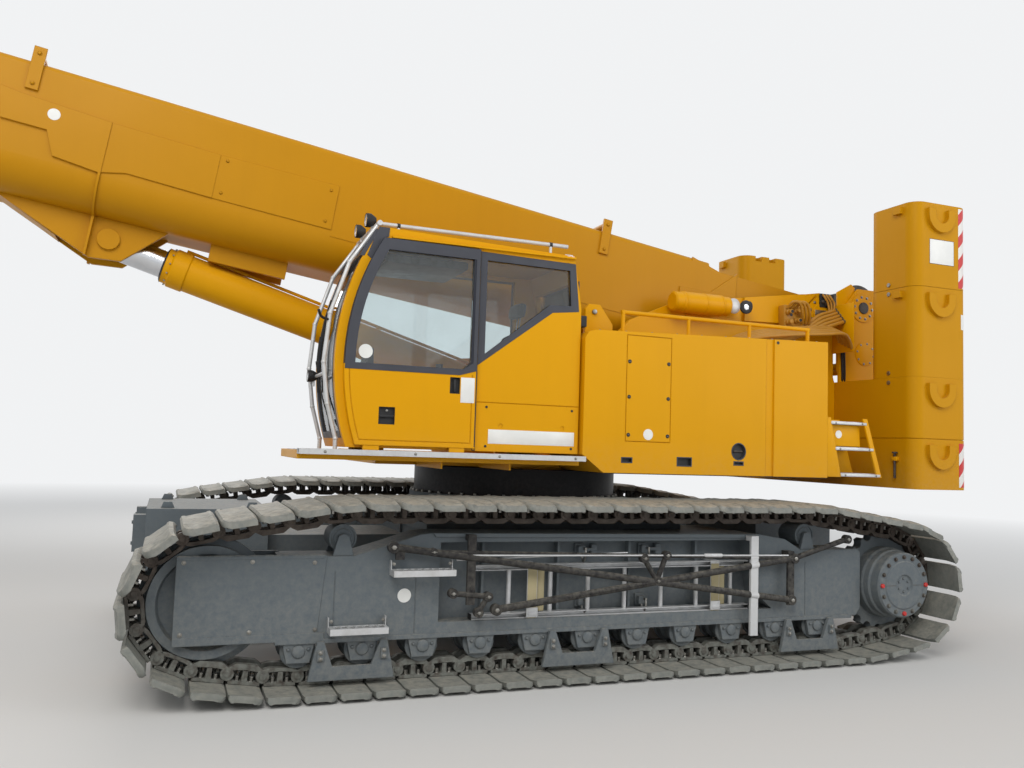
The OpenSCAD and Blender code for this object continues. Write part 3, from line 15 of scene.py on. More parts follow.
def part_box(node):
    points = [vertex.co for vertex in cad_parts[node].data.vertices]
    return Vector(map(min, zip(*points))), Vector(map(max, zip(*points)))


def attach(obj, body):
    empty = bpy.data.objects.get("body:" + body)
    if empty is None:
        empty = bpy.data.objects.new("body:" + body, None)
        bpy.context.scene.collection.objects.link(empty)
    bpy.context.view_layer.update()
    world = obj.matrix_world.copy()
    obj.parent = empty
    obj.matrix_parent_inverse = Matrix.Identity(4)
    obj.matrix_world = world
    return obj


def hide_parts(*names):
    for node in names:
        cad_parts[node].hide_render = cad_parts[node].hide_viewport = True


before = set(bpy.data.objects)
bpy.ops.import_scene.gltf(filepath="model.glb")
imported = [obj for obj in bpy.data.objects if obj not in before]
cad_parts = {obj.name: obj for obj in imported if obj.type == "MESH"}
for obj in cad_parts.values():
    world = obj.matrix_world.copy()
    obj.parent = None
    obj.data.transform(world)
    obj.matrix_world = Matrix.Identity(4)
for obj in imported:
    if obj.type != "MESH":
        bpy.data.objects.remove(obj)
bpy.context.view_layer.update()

# Places shared by many pieces
RING_LOW, RING_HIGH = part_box("slewing_ring")
MID_X = -(RING_LOW.x + RING_HIGH.x) / 2
PIVOT_X, PIVOT_Z = -3.10, 3.15
BOOM_ANGLE = radians(8.5)
FOOT_X, FOOT_Z = -0.90, 1.83
LUFF_ANGLE = radians(17.124)
DRUM_X, DRUM_Z = -3.62, 3.24
HUB_X, HUB_Z = -2.810, 0.610
TRACK_Y = 1.667
FRAME_FACE = 1.827
COVER_FACE = 1.517
SHELL_FACE = 1.469
AHEAD, LEFT, UP = (1, 0, 0), (0, 1, 0), (0, 0, 1)


def crane(x, y, z):
    """A place measured from the slewing axis, in the row frame."""
    return Vector((x - MID_X, y, z))


def at(place):
    """A Vector as it is, or a plain (x, y, z) measured from the slewing axis."""
    return place if isinstance(place, Vector) else crane(*place)


def turned(x, y, z, origin_x, origin_z, angle):
    c, s = cos(angle), sin(angle)
    return crane(origin_x + x * c - z * s, y, origin_z + x * s + z * c)


def boomed(x, y, z):
    """A place along, beside and above the parked boom's pivot."""
    return turned(x, y, z, PIVOT_X, PIVOT_Z, BOOM_ANGLE)


def luffed(x, y, z):
    """A place along, beside and above the luffing cylinder's foot."""
    return turned(x, y, z, FOOT_X, FOOT_Z, LUFF_ANGLE)


def rect(x0, x1, z0, z1, grow=0.0):
    """Corners of a rectangle in the side view."""
    return [(x0 - grow, z0 - grow), (x1 + grow, z0 - grow), (x1 + grow, z1 + grow), (x0 - grow, z1 + grow)]


def around(x, z, r, count, first=0.0):
    """Places on a circle in the side view."""
    turns = [first + 2 * pi * k / count for k in range(count)]
    return [(x + r * cos(a), z + r * sin(a)) for a in turns]


def span(side, a, b):
    """Two distances from the middle plane on one side of it, lower one first."""
    return sorted((side * a, side * b))


# Node trees
class Graph:
    """The node tree of a new material or of a world, with short calls for the few nodes used here."""

    def __init__(self, owner, empty=False):
        if isinstance(owner, str):
            owner = bpy.data.materials.new(owner)
        owner.use_nodes = True
        self.owner, self.tree = owner, owner.node_tree
        if empty:
            self.tree.nodes.clear()
        self.shader = self.tree.nodes.get("Principled BSDF")

    @cached_property
    def place(self):
        return self.node("ShaderNodeTexCoord").outputs["Object"]

    def link(self, source, target):
        if hasattr(source, "is_output"):
            self.tree.links.new(source, target)
        else:
            target.default_value = source

    def node(self, kind, *values, **named):
        """A node with its first inputs in order. Names with a capital are inputs, the others settings."""
        made = self.tree.nodes.new(kind)
        for name, value in named.items():
            if name[0].isupper():
                self.link(value, made.inputs[name])
            else:
                setattr(made, name, value)
        for i, value in enumerate(values):
            self.link(value, made.inputs[i])
        return made

    def math(self, operation, a, b, clamp=False):
        return self.node("ShaderNodeMath", a, b, operation=operation, use_clamp=clamp).outputs[0]

    def times(self, a, b, clamp=False):
        return self.math("MULTIPLY", a, b, clamp)

    def parts(self, vector):
        return self.node("ShaderNodeSeparateXYZ", vector).outputs

    def normal(self):
        return self.node("ShaderNodeNewGeometry").outputs["Normal"]

    def rounded(self, radius):
        return self.node("ShaderNodeBevel", radius, samples=4).outputs["Normal"]

    def scaled(self, *by):
        return self.node("ShaderNodeVectorMath", self.place, by, operation="MULTIPLY").outputs[0]

    def noise(self, scale, detail=3.0, rough=0.5, where=None):
        return self.node("ShaderNodeTexNoise", Vector=where or self.place, Scale=scale, Detail=detail,
                         Roughness=rough).outputs["Fac"]

    def spread(self, value, low, high, to_low=0.0, to_high=1.0):
        return self.node("ShaderNodeMapRange", value, low, high, to_low, to_high).outputs["Result"]

    def mix(self, factor, a, b):
        return self.node("ShaderNodeMix", data_type="RGBA", Factor=factor, A=a, B=b).outputs["Result"]

    def mixed(self, factor, a, b):
        """Two shaders mixed."""
        return self.node("ShaderNodeMixShader", factor, a, b).outputs[0]

    def within(self, axis, low, high):
        """1 between two places along an axis, measured from the slewing axis."""
        value, shift = self.parts(self.place)[axis], MID_X if axis == "X" else 0.0
        return self.times(self.math("GREATER_THAN", value, low - shift), self.math("LESS_THAN", value, high - shift))

    def spotted(self, base, spots):
        """Base with other colours inside boxes, each given as limits along some axes."""
        for limits, colour in spots:
            mask = 1.0
            for axis, low, high in limits:
                mask = self.times(mask, self.within(axis, low, high))
            base = self.mix(mask, base, colour)
        return base

    def edges(self, radius):
        """1 along sharp edges, 0 on flat faces."""
        same = self.node("ShaderNodeVectorMath", self.rounded(radius), self.normal(), operation="DOT_PRODUCT")
        return self.spread(same.outputs["Value"], 0.995, 0.9)

    def bump(self, height, strength, distance, radius=0.0):
        made = self.node("ShaderNodeBump", Strength=strength, Distance=distance, Height=height)
        if radius:
            self.link(self.rounded(radius), made.inputs["Normal"])
        self.link(made.outputs["Normal"], self.shader.inputs["Normal"])

    def set(self, **values):
        for name, value in values.items():
            self.link(value, self.shader.inputs[name.replace("_", " ")])


# Camera, light and floor
BACKDROP = (0.88, 0.89, 0.90, 1)
FLOOR_RADIUS = 200.0


def linked(name, data):
    """A new object in the scene."""
    made = bpy.data.objects.new(name, data)
    bpy.context.scene.collection.objects.link(made)
    return made


def add_camera():
    """A camera near the front left corner, at eye level, with a slight roll."""
    yaw, pitch, roll = (radians(a) for a in (21.115, 4.151, -1.876))
    forward = Vector((-sin(yaw) * cos(pitch), -cos(yaw) * cos(pitch), sin(pitch)))
    level = Vector((-cos(yaw), sin(yaw), 0.0))
    upright = level.cross(forward)
    c, s = cos(roll), sin(roll)
    data = bpy.data.cameras.new("camera")
    data.lens, data.sensor_width, data.clip_end = 31.07, 36.0, 500.0
    camera = linked("camera", data)
    rotation = Matrix((c * level - s * upright, s * level + c * upright, -forward)).transposed()
    camera.matrix_world = Matrix.Translation(crane(3.0787, 7.8441, 1.6613)) @ rotation.to_4x4()
    bpy.context.scene.camera = camera


def add_lamp(name, place, target, size, power, colour=(1.0, 1.0, 1.0)):
    data = bpy.data.lights.new(name, "AREA")
    data.shape, data.size, data.energy, data.color = "DISK", size, power, colour
    lamp = linked(name, data)
    lamp.location = at(place)
    lamp.rotation_euler = (at(target) - at(place)).to_track_quat("-Z", "Y").to_euler()


def add_world():
    """Soft light all round, and a pale backdrop for camera, mirror and glass rays."""
    bpy.context.scene.world = bpy.data.worlds.new("studio")
    g = Graph(bpy.context.scene.world, empty=True)
    rays = g.node("ShaderNodeLightPath").outputs
    direct = g.math("MAXIMUM", g.math("MAXIMUM", rays["Is Camera Ray"], rays["Is Glossy Ray"]),
                    rays["Is Transmission Ray"])
    lit = g.node("ShaderNodeBackground", (0.93, 0.96, 1.0, 1), 0.50)
    seen = g.node("ShaderNodeBackground", BACKDROP, 1.0)
    g.node("ShaderNodeOutputWorld", g.mixed(direct, lit.outputs[0], seen.outputs[0]))


def add_floor():
    """A pale floor that keeps the shadow and fades into the backdrop far out."""
    made = bmesh.new()
    bmesh.ops.create_circle(made, cap_ends=True, segments=96, radius=FLOOR_RADIUS)
    data = bpy.data.meshes.new("floor")
    made.to_mesh(data)
    made.free()
    g = Graph("floor", empty=True)
    far = g.node("ShaderNodeVectorMath", g.place, operation="LENGTH").outputs["Value"]
    matt = g.node("ShaderNodeBsdfDiffuse", (0.68, 0.67, 0.65, 1)).outputs[0]
    away = g.node("ShaderNodeEmission", BACKDROP).outputs[0]
    g.node("ShaderNodeOutputMaterial", g.mixed(g.spread(far, 6.5, 26.0), matt, away))
    data.materials.append(g.owner)
    linked("floor", data)


bpy.context.scene.view_settings.view_transform = "Standard"
add_camera()
add_world()
add_floor()
add_lamp("key", (6.0, 11.0, 11.0), (0.0, 0.5, 1.8), 9.0, 1050.0, (1.0, 0.98, 0.95))
add_lamp("fill", (-9.0, 10.0, 6.0), (-1.0, 0.5, 2.0), 8.0, 380.0, (0.95, 0.97, 1.0))
add_lamp("back", (2.0, -11.0, 9.0), (0.0, 0.0, 2.0), 9.0, 560.0)


# Materials
def linear(*colour):
    """Shader colour of an sRGB colour given from 0 to 255."""
    return (*(v / 255 / 12.92 if v / 255 <= 0.04045 else ((v / 255 + 0.055) / 1.055) ** 2.4 for v in colour), 1.0)


def toned(colour, factor, lift=0.0):
    return [min(1.0, c * factor + lift) for c in colour[:3]] + [1.0]


DUST = linear(182, 176, 162)
MUD = linear(130, 134, 128)
GRIME = linear(46, 40, 34)
CHARCOAL = linear(50, 52, 60)
ALUMINIUM = linear(204, 205, 206)
CAB_YELLOW = linear(222, 158, 0)


def paint(name, colour, rough=0.42, coat=0.06, dust_low=0.0, dust_top=0.12, chips=linear(92, 70, 40), spots=()):
    """Sprayed paint on plate: slight fade, streaks, dust low down and on top, chips at the edges."""
    g = Graph(name)
    radius, shade = 0.008, toned(colour, 0.84)
    patches = g.noise(0.7, 4.0, 0.6)
    streaks = g.noise(1.0, 3.0, 0.6, g.scaled(7.0, 7.0, 0.5))
    base = g.mix(g.spread(patches, 0.35, 0.7, 0.0, 0.35), colour, shade)
    base = g.mix(g.spread(streaks, 0.52, 0.8, 0.0, 0.22), base, shade)
    base = g.spotted(base, spots)
    low = g.spread(g.parts(g.place)["Z"], dust_low + 0.9, dust_low - 0.3)
    top = g.spread(g.parts(g.normal())["Z"], 0.35, 0.95)
    amount = g.math("ADD", g.times(low, 0.30), g.times(top, dust_top))
    dust = g.times(g.spread(g.noise(26.0, 5.0, 0.7), 0.3, 0.75), amount)
    base = g.mix(dust, base, DUST)
    worn = g.times(g.edges(radius), g.spread(g.noise(34.0, 4.0, 0.8), 0.60, 0.68), clamp=True)
    base = g.mix(g.times(worn, 0.75), base, chips)
    dull = g.math("ADD", g.times(dust, 0.5), g.spread(patches, 0.3, 0.7, rough - 0.05, rough + 0.1))
    g.set(Base_Color=base, Coat_Weight=coat, Coat_Roughness=0.2, Specular_IOR_Level=0.12, Roughness=dull)
    g.bump(g.math("ADD", g.noise(420.0, 2.0), g.times(g.noise(5.0, 2.0), 2.0)), 0.06, 0.004, radius)
    return g.owner


def steel(name, colour, rough=0.5, metal=0.6, grime=GRIME, amount=0.5, dusty=0.0, muddy=0.0):
    """Bare or worn metal with grime in patches, dust on top and mud low down."""
    g = Graph(name)
    patches = g.noise(9.0, 6.0, 0.65)
    base = g.mix(g.spread(patches, 0.45, 0.7, 0.0, amount), colour, grime)
    if muddy:
        low = g.times(g.spread(g.parts(g.place)["Z"], 0.75, 0.25), g.spread(g.noise(23.0, 4.0), 0.25, 0.6))
        base = g.mix(g.times(low, muddy), base, MUD)
    if dusty:
        top = g.spread(g.parts(g.normal())["Z"], -0.2, 0.9, 0.25, 1.0)
        cover = g.times(g.spread(g.noise(17.0, 5.0, 0.7), 0.3, 0.65), g.times(top, dusty))
        base = g.mix(cover, base, DUST)
    g.set(Base_Color=base, Metallic=metal, Roughness=g.spread(patches, 0.3, 0.75, rough - 0.1, rough + 0.15))
    g.bump(g.noise(60.0, 4.0, 0.6), 0.25, 0.004, 0.004)
    return g.owner


def plastic(name, colour, rough=0.45, grain=300.0):
    g = Graph(name)
    lighter = toned(colour, 1.25, 0.01)
    g.set(Base_Color=g.mix(g.spread(g.noise(6.0, 3.0), 0.4, 0.8, 0.0, 0.5), colour, lighter),
          Roughness=g.spread(g.noise(14.0), 0.3, 0.7, rough - 0.07, rough + 0.1))
    g.bump(g.noise(grain, 2.0), 0.12, 0.002, 0.003)
    return g.owner


def make_glass():
    """Tinted pane: mostly clear, with a sheen and a film of dust."""
    g = Graph("pane_glass", empty=True)
    film = g.spread(g.noise(3.0, 4.0, 0.6), 0.35, 0.8, 0.012, 0.06)
    clear = g.node("ShaderNodeBsdfTransparent", (0.90, 0.94, 0.945, 1)).outputs[0]
    gloss = g.node("ShaderNodeBsdfGlossy", Roughness=0.03).outputs[0]
    dust = g.node("ShaderNodeBsdfDiffuse", (0.55, 0.58, 0.58, 1)).outputs[0]
    sheen = g.times(g.node("ShaderNodeFresnel", 1.5).outputs[0], 1.3, clamp=True)
    g.node("ShaderNodeOutputMaterial", g.mixed(sheen, g.mixed(film, clear, dust), gloss))
    return g.owner


def make_fabric():
    g = Graph("seat_fabric")
    weave = g.node("ShaderNodeTexWave", g.scaled(1.0, 1.0, 1.0), wave_type="BANDS", Scale=120.0)
    g.set(Base_Color=g.mix(g.noise(40.0), linear(38, 40, 44), linear(62, 64, 70)), Sheen_Weight=0.3, Roughness=0.85)
    g.bump(weave.outputs["Fac"], 0.3, 0.002)
    return g.owner


def make_stripes():
    """Red and white bands that lean across a hazard tape."""
    g = Graph("hazard_tape")
    place = g.parts(g.place)
    band = g.node("ShaderNodeMath", g.times(g.math("ADD", place["Z"], place["X"]), 4.6), operation="FRACT")
    red = g.math("GREATER_THAN", band.outputs[0], 0.5)
    g.set(Base_Color=g.mix(red, linear(226, 222, 216), linear(196, 36, 34)),
          Roughness=g.spread(g.noise(30.0), 0.3, 0.7, 0.3, 0.45))
    g.bump(g.noise(900.0), 0.1, 0.001)
    return g.owner


def make_lens(name, colour, metal):
    g = Graph(name)
    cells = g.node("ShaderNodeTexVoronoi", g.place, Scale=70.0).outputs["Distance"]
    g.set(Base_Color=g.mix(cells, colour, linear(245, 248, 250)), Roughness=0.12, Coat_Weight=0.8, Metallic=metal)
    g.bump(cells, 0.4, 0.003)
    return g.owner


M = {
    "yellow": paint("yellow_paint", CAB_YELLOW, dust_low=0.9),
    "boom": paint("boom_paint", linear(192, 134, 8), dust_low=-3.0),
    "ballast": paint("counterweight_paint", linear(198, 140, 4), 0.5, 0.02, 0.9),
    "grey": paint("frame_paint", linear(98, 106, 111), 0.5, 0.05, 0.35, 0.55, linear(60, 50, 44)),
    # The spot is the silver upright across the stowed struts
    "black": paint("black_paint", linear(27, 27, 31), 0.4, 0.06, 0.6, 0.3, linear(90, 84, 78),
                   [((("X", -1.372, -1.298), ("Z", 0.2, 1.1)), ALUMINIUM)]),
    "shoe": steel("shoe_steel", linear(122, 125, 121), 0.7, 0.2, linear(92, 95, 92), 0.7, 0.7, 0.5),
    # The chain's dark brown and its grime are partly oily dirt and partly painted shade, for the side of the chain
    # that sits in shade
    "chain": steel("chain_steel_dirt_and_painted_shade", linear(66, 56, 50), 0.6, 0.4, linear(40, 33, 28), 0.8, 0.25, 0.75),
    "bolt": steel("bolt_steel", linear(150, 148, 142), 0.35, 0.9),
    "silver": steel("aluminium", ALUMINIUM, 0.42, 0.35, linear(150, 148, 142), 0.35, 0.15),
    "door": paint("door_paint", CAB_YELLOW, dust_low=0.9, spots=[((("Z", 2.232, 3.5),), CHARCOAL)]),
    "chrome": steel("chrome_rod", linear(214, 216, 220), 0.16, 1.0, linear(160, 162, 166), 0.15),
    "rope": steel("wire_rope", linear(72, 70, 68)),
    "charcoal": plastic("charcoal_plastic", linear(52, 54, 62)),
    "rubber": plastic("black_rubber", linear(24, 24, 25), 0.6),
    "beige": plastic("strap_webbing", linear(176, 164, 128), 0.8, 900.0),
    "label": plastic("blank_label", linear(226, 226, 222), 0.4),
    "hose": plastic("painted_hose", linear(176, 124, 30), 0.5),
    "red": plastic("red_plastic", linear(188, 40, 34), 0.35),
    "amber": make_lens("amber_lens", linear(222, 110, 20), 0.0),
    "lamp": make_lens("lamp_glass", linear(190, 196, 204), 0.5),
    "tape": make_stripes(),
    "glass": make_glass(),
    "fabric": make_fabric(),
}

NODE_LOOKS = {
    "yellow": "turntable cylinder_foot deck_plates hood_left hood_right engine_door winch_frame deck_rail deck_tube "
              "cab_shell cab_roof luff_barrel",
    "door": "cab_door",
    "boom": "boom_base boom_lug tele_1 tele_2 tele_3 tele_4 tele_5",
    "ballast": "counterweight_slabs counterweights",
    "grey": "carbody track_frame_left track_frame_right idlers sprockets bottom_rollers carrier_rollers track_guards",
    "shoe": "track_left track_right",
    "black": "slewing_ring stowed_struts engine head_sheaves hook_block",
    "silver": "track_steps stowed_ladder rear_steps cab_rails cab_sill",
    "charcoal": "cab_seat cab_console",
    "rope": "hoist_rope winch_drum",
    "chrome": "luff_rod",
    "glass": "cab_panes door_pane",
}
for look, names in NODE_LOOKS.items():
    for name in names.split():
        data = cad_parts[name].data
        data.materials.clear()
        data.materials.append(M[look])


# Shapes
def put(name, data, body, replaces=()):
    """An object of a mesh, riding on a body."""
    piece = linked(name, data)
    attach(piece, body)
    if replaces:
        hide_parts(*replaces)
    return piece


class Shape:
    """Faces of one piece, gathered before they become an object."""

    def __init__(self, look=None):
        self.bm = bmesh.new()
        self.looks = []
        if look:
            self.use(look)

    def use(self, look):
        if look not in self.looks:
            self.looks.append(look)
        self.look = self.looks.index(look)
        return self

    def _keep(self, made, bevel):
        for f in {f for v in made for f in v.link_faces}:
            f.material_index = self.look
        if bevel:
            edges = dict.fromkeys(e for v in made for e in v.link_edges)
            sharp = [e for e in edges if len(e.link_faces) == 2 and e.calc_face_angle(0.0) > radians(25)]
            bmesh.ops.bevel(self.bm, geom=sharp, offset=bevel, segments=2, affect="EDGES", profile=0.5,
                            clamp_overlap=True, material=self.look)
        return self

    def box(self, low, high, bevel=0.0):
        low, high = at(low), at(high)
        size = Matrix.Diagonal((*(high - low), 1.0))
        made = bmesh.ops.create_cube(self.bm, size=1.0, matrix=Matrix.Translation((low + high) / 2) @ size)
        return self._keep(made["verts"], bevel)

    def loft(self, rings, bevel=0.0, capped=True):
        """A skin through rings of as many points, closed at its ends or from last ring to first."""
        made = [[self.bm.verts.new(at(p)) for p in ring] for ring in rings]
        pairs = list(zip(made, made[1:]))
        faces = []
        if capped:
            faces += [self.bm.faces.new(made[0][::-1]), self.bm.faces.new(made[-1])]
        else:
            pairs.append((made[-1], made[0]))
        for a, b in pairs:
            for k in range(len(a)):
                j = (k + 1) % len(a)
                faces.append(self.bm.faces.new((a[k], a[j], b[j], b[k])))
        bmesh.ops.recalc_face_normals(self.bm, faces=faces)
        return self._keep([v for ring in made for v in ring], bevel)

    def ring(self, outer, inner, y0, y1, place=crane):
        """A flat frame between two outlines in the side view, from y0 to y1."""
        sections = ((outer, y0), (outer, y1), (inner, y1), (inner, y0))
        return self.loft([[place(x, y, z) for x, z in outline] for outline, y in sections], capped=False)

    def plate(self, outline, y0, y1, bevel=0.0, place=crane):
        """An outline in the side view, extruded from y0 to y1."""
        return self.loft([[place(x, y, z) for x, z in outline] for y in (y0, y1)], bevel)

    def rod(self, a, b, r, sides=20, bevel=0.0):
        a, b = at(a), at(b)
        turn = (b - a).to_track_quat("Z", "Y").to_matrix().to_4x4()
        made = bmesh.ops.create_cone(self.bm, cap_ends=True, segments=sides, radius1=r, radius2=r,
                                     depth=(b - a).length, matrix=Matrix.Translation((a + b) / 2) @ turn)
        return self._keep(made["verts"], bevel)

    def sweep(self, points, r, sides=10, smooth=0):
        """A tube along points, through which a soft curve runs when smooth is over 0."""
        points = [at(p) for p in points]
        if smooth:
            points = curve(points, smooth)
        up = None
        rings = []
        for i, p in enumerate(points):
            ahead = (points[min(i + 1, len(points) - 1)] - points[max(i - 1, 0)]).normalized()
            up = up or ahead.orthogonal().normalized()
            up = (up - ahead * up.dot(ahead)).normalized()
            across = ahead.cross(up)
            rings.append([p + r * (up * c + across * s) for c, s in around(0, 0, 1, sides)])
        return self.loft(rings)

    def lathe(self, profile, place, axis, sides=32):
        """Turns (along, radius) pairs round an axis from a place."""
        start, axis = at(place), Vector(axis).normalized()
        side = axis.orthogonal().normalized()
        across = axis.cross(side)
        turns = [side * c + across * s for c, s in around(0, 0, 1, sides)]
        return self.loft([[start + axis * along + max(r, 1e-5) * turn for turn in turns] for along, r in profile])

    def disc(self, place, axis, r, t, sides=32, rim=None):
        """A flat disc of thickness t, with its face drawn in to rim = (height, radius)."""
        return self.lathe([(0, r), (t, r)] + ([rim] if rim else []), place, axis, sides)

    def bolt(self, place, axis, r, h):
        """A hexagon head on its washer."""
        start, axis = at(place), Vector(axis)
        self.rod(start, start + axis * h * 0.25, r * 1.35, 16)
        return self.rod(start + axis * h * 0.25, start + axis * h, r, 6, r * 0.12)

    def bolts(self, y, places, r, h, place=crane):
        """Bolts at (x, z) places in a face at y that looks away from the middle plane."""
        for x, z in places:
            self.bolt(place(x, y, z), (0, copysign(1, y), 0), r, h)
        return self

    def done(self, name, slot, body="superstructure", replaces=()):
        for e in self.bm.edges:
            e.smooth = len(e.link_faces) == 2 and e.calc_face_angle(0.0) < radians(38)
        for f in self.bm.faces:
            f.smooth = True
        data = bpy.data.meshes.new(name)
        self.bm.to_mesh(data)
        self.bm.free()
        for look in self.looks:
            data.materials.append(M[look])
        return put(name, data, body, replaces)

    def done_both(self, name, slot, replaced=None):
        """The piece on the left side of the undercarriage, and its mirror image on the right."""
        nodes = {side: [f"{replaced}_{side}"] if replaced else () for side in ("left", "right")}
        data = self.done(name + "_left", slot, "undercarriage", nodes["left"]).data.copy()
        data.name = name + "_right"
        data.transform(Matrix.Diagonal((1.0, -1.0, 1.0, 1.0)))
        data.flip_normals()
        put(name + "_right", data, "undercarriage", nodes["right"])


def hoses(shape, count, step_y, rows, r):
    """Hoses side by side: their points as (x, first y, first z, drop in z from one hose to the next)."""
    for k in range(count):
        shape.sweep([(x, y + step_y * k, z - drop * k) for x, y, z, drop in rows], r, 10, 6)


def curve(points, steps):
    """Points on a smooth line through the given ones, steps to each stretch."""
    full = [points[0] * 2 - points[1], *points, points[-1] * 2 - points[-2]]
    line = []
    for i in range(1, len(full) - 2):
        a, b, c, d = full[i - 1:i + 3]
        for t in (k / steps for k in range(steps)):
            line.append(0.5 * (2 * b + (c - a) * t + (2 * a - 5 * b + 4 * c - d) * t * t
                               + (3 * b - a - 3 * c + d) * t ** 3))
    return [*line, full[-2]]


# Track: six wheels that the chain runs round, with the radius out to the chain's outer face
BELT = ((-2.810, 0.610, 0.495), (-2.350, 0.280, 0.230), (2.350, 0.280, 0.230),
        (2.790, 0.610, 0.495), (1.930, 1.015, 0.225), (-1.930, 1.015, 0.225))
SHOE_COUNT = 62
PIN_DEEP = 0.060
# Across a shoe: distance from its middle, bend towards the chain, corner cut off
SHOE_HALF = ((0.330, 0.0, 0.0), (0.400, 0.010, 0.005), (0.432, 0.016, 0.016), (0.450, 0.022, 0.040))
SHOE_STATIONS = (*((-y, bend, cut) for y, bend, cut in SHOE_HALF[::-1]), *SHOE_HALF)
# Rise of a link's arc over its chord that counts as bent, and how deep its rail is when bent and when straight
BENT, RAIL_BENT, RAIL_STRAIGHT = 0.003, 0.116, 0.130


def belt_legs(wheels):
    """Each wheel's turn and the straight run after it: x, z, radius, first and last angle, run."""
    leave = []
    for (ax, az, ar), (bx, bz, br) in zip(wheels, wheels[1:] + wheels[:1]):
        gap = dist((ax, az), (bx, bz))
        leave.append(atan2(bz - az, bx - ax) - pi / 2 + asin((ar - br) / gap))
    legs = []
    for i, (x, z, r) in enumerate(wheels):
        nx, nz, nr = wheels[(i + 1) % len(wheels)]
        first = leave[i - 1]
        last = first + (leave[i] - first) % (2 * pi)
        legs.append((x, z, r, first, last, sqrt(dist((x, z), (nx, nz)) ** 2 - (r - nr) ** 2)))
    return legs


def belt_at(s, legs):
    """Place at a length s along the line of the chain's pins."""
    for x, z, r, first, last, run in legs:
        if s <= r * (last - first):
            angle = first + s / r
            return Vector((x + r * cos(angle), z + r * sin(angle)))
        s -= r * (last - first)
        if s <= run:
            side = Vector((cos(last), sin(last)))
            return Vector((x, z)) + r * side + s * Vector((-side.y, side.x))
        s -= run
    return belt_at(s, legs)


def add_tracks():
    legs = belt_legs([(x, z, r - PIN_DEEP) for x, z, r in BELT])
    pitch = sum(r * (last - first) + run for _, _, r, first, last, run in legs) / SHOE_COUNT
    end, mid = pitch - 0.004, pitch / 2
    section = ((0.004, 0.012), (0.004, 0.034), (0.018, 0.050), (0.036, 0.050), (0.044, 0.045), (end - 0.044, 0.045),
               (end - 0.036, 0.050), (end - 0.018, 0.050), (end, 0.032), (end, 0.004), (0.030, 0.002))
    pad_plate = ((0.012, 0), (0.012, -0.022), (pitch - 0.012, -0.022), (pitch - 0.012, 0))
    rib = ((mid - 0.019, -0.021), (mid - 0.015, -0.095), (mid + 0.015, -0.095), (mid + 0.019, -0.021))
    shoes, chain = Shape("shoe"), Shape("chain")
    for i in range(SHOE_COUNT):
        a, b = belt_at(i * pitch, legs), belt_at((i + 1) * pitch, legs)
        t = (b - a).normalized()
        bent = (belt_at((i + 0.5) * pitch, legs) - (a + b) / 2).length > BENT
        deep = RAIL_BENT if bent else RAIL_STRAIGHT
        rail = ((0.004, -0.082), (0.004, -0.104), (pitch * 0.2, -deep), (pitch * 0.8, -deep), (end, -0.104),
                (end, -0.082), (pitch * 0.7, -0.092), (pitch * 0.3, -0.092))

        def place(s, y, h):
            h += PIN_DEEP
            return crane(a.x + t.x * s + t.y * h, TRACK_Y + y, a.y + t.y * s - t.x * h)

        def pin(s, y0, y1, r, sides):
            chain.rod(place(s, y0, -PIN_DEEP), place(s, y1, -PIN_DEEP), r, sides)

        shoes.loft([[place(end - (end - s) * (1 - cut / end), y, h - bend) for s, h in section]
                    for y, bend, cut in SHOE_STATIONS])
        chain.use("chain")
        pin(0, -0.05, 0.05, 0.018, 10)
        for side in (-1, 1):
            near, far = span(side, 0.050, 0.108)
            chain.use("chain")
            for outline in (rail, pad_plate, rib):
                chain.plate(outline, near, far, place=place)
            pin(0, near - 0.002, far + 0.002, 0.043, 14)
            pin(0, side * 0.100, side * 0.117, 0.021, 10)
            chain.use("bolt")
            for s in (0.067, pitch - 0.067):
                chain.rod(place(s, side * 0.082, -0.018), place(s, side * 0.082, -0.052), 0.015, 6)
    shoes.done_both("track_shoes", "shoe_steel", "track")
    chain.done_both("track_chain", "dark_steel", "track")


# Undercarriage details
def add_hub():
    """Bolts, plugs and joint of the final drive's cover."""
    shape = Shape()
    for i, (x, z) in enumerate(around(HUB_X, HUB_Z, 0.236, 16)):
        if i in (0, 8, 12):
            shape.use("red").disc((x, 1.976, z), LEFT, 0.019, 0.012, 16, (0.018, 0.014))
        else:
            shape.use("chain").bolt((x, 1.976, z), LEFT, 0.014, 0.016)
    for x in (HUB_X - 0.190, HUB_X + 0.092):
        shape.use("chain").box((x, 1.983, HUB_Z - 0.002), (x + 0.098, 1.9865, HUB_Z + 0.002))
    shape.use("grey").bolts(1.970, around(HUB_X, HUB_Z, 0.055, 6, 0.5), 0.009, 0.008)
    shape.done_both("hub_bolts", "dark_steel")


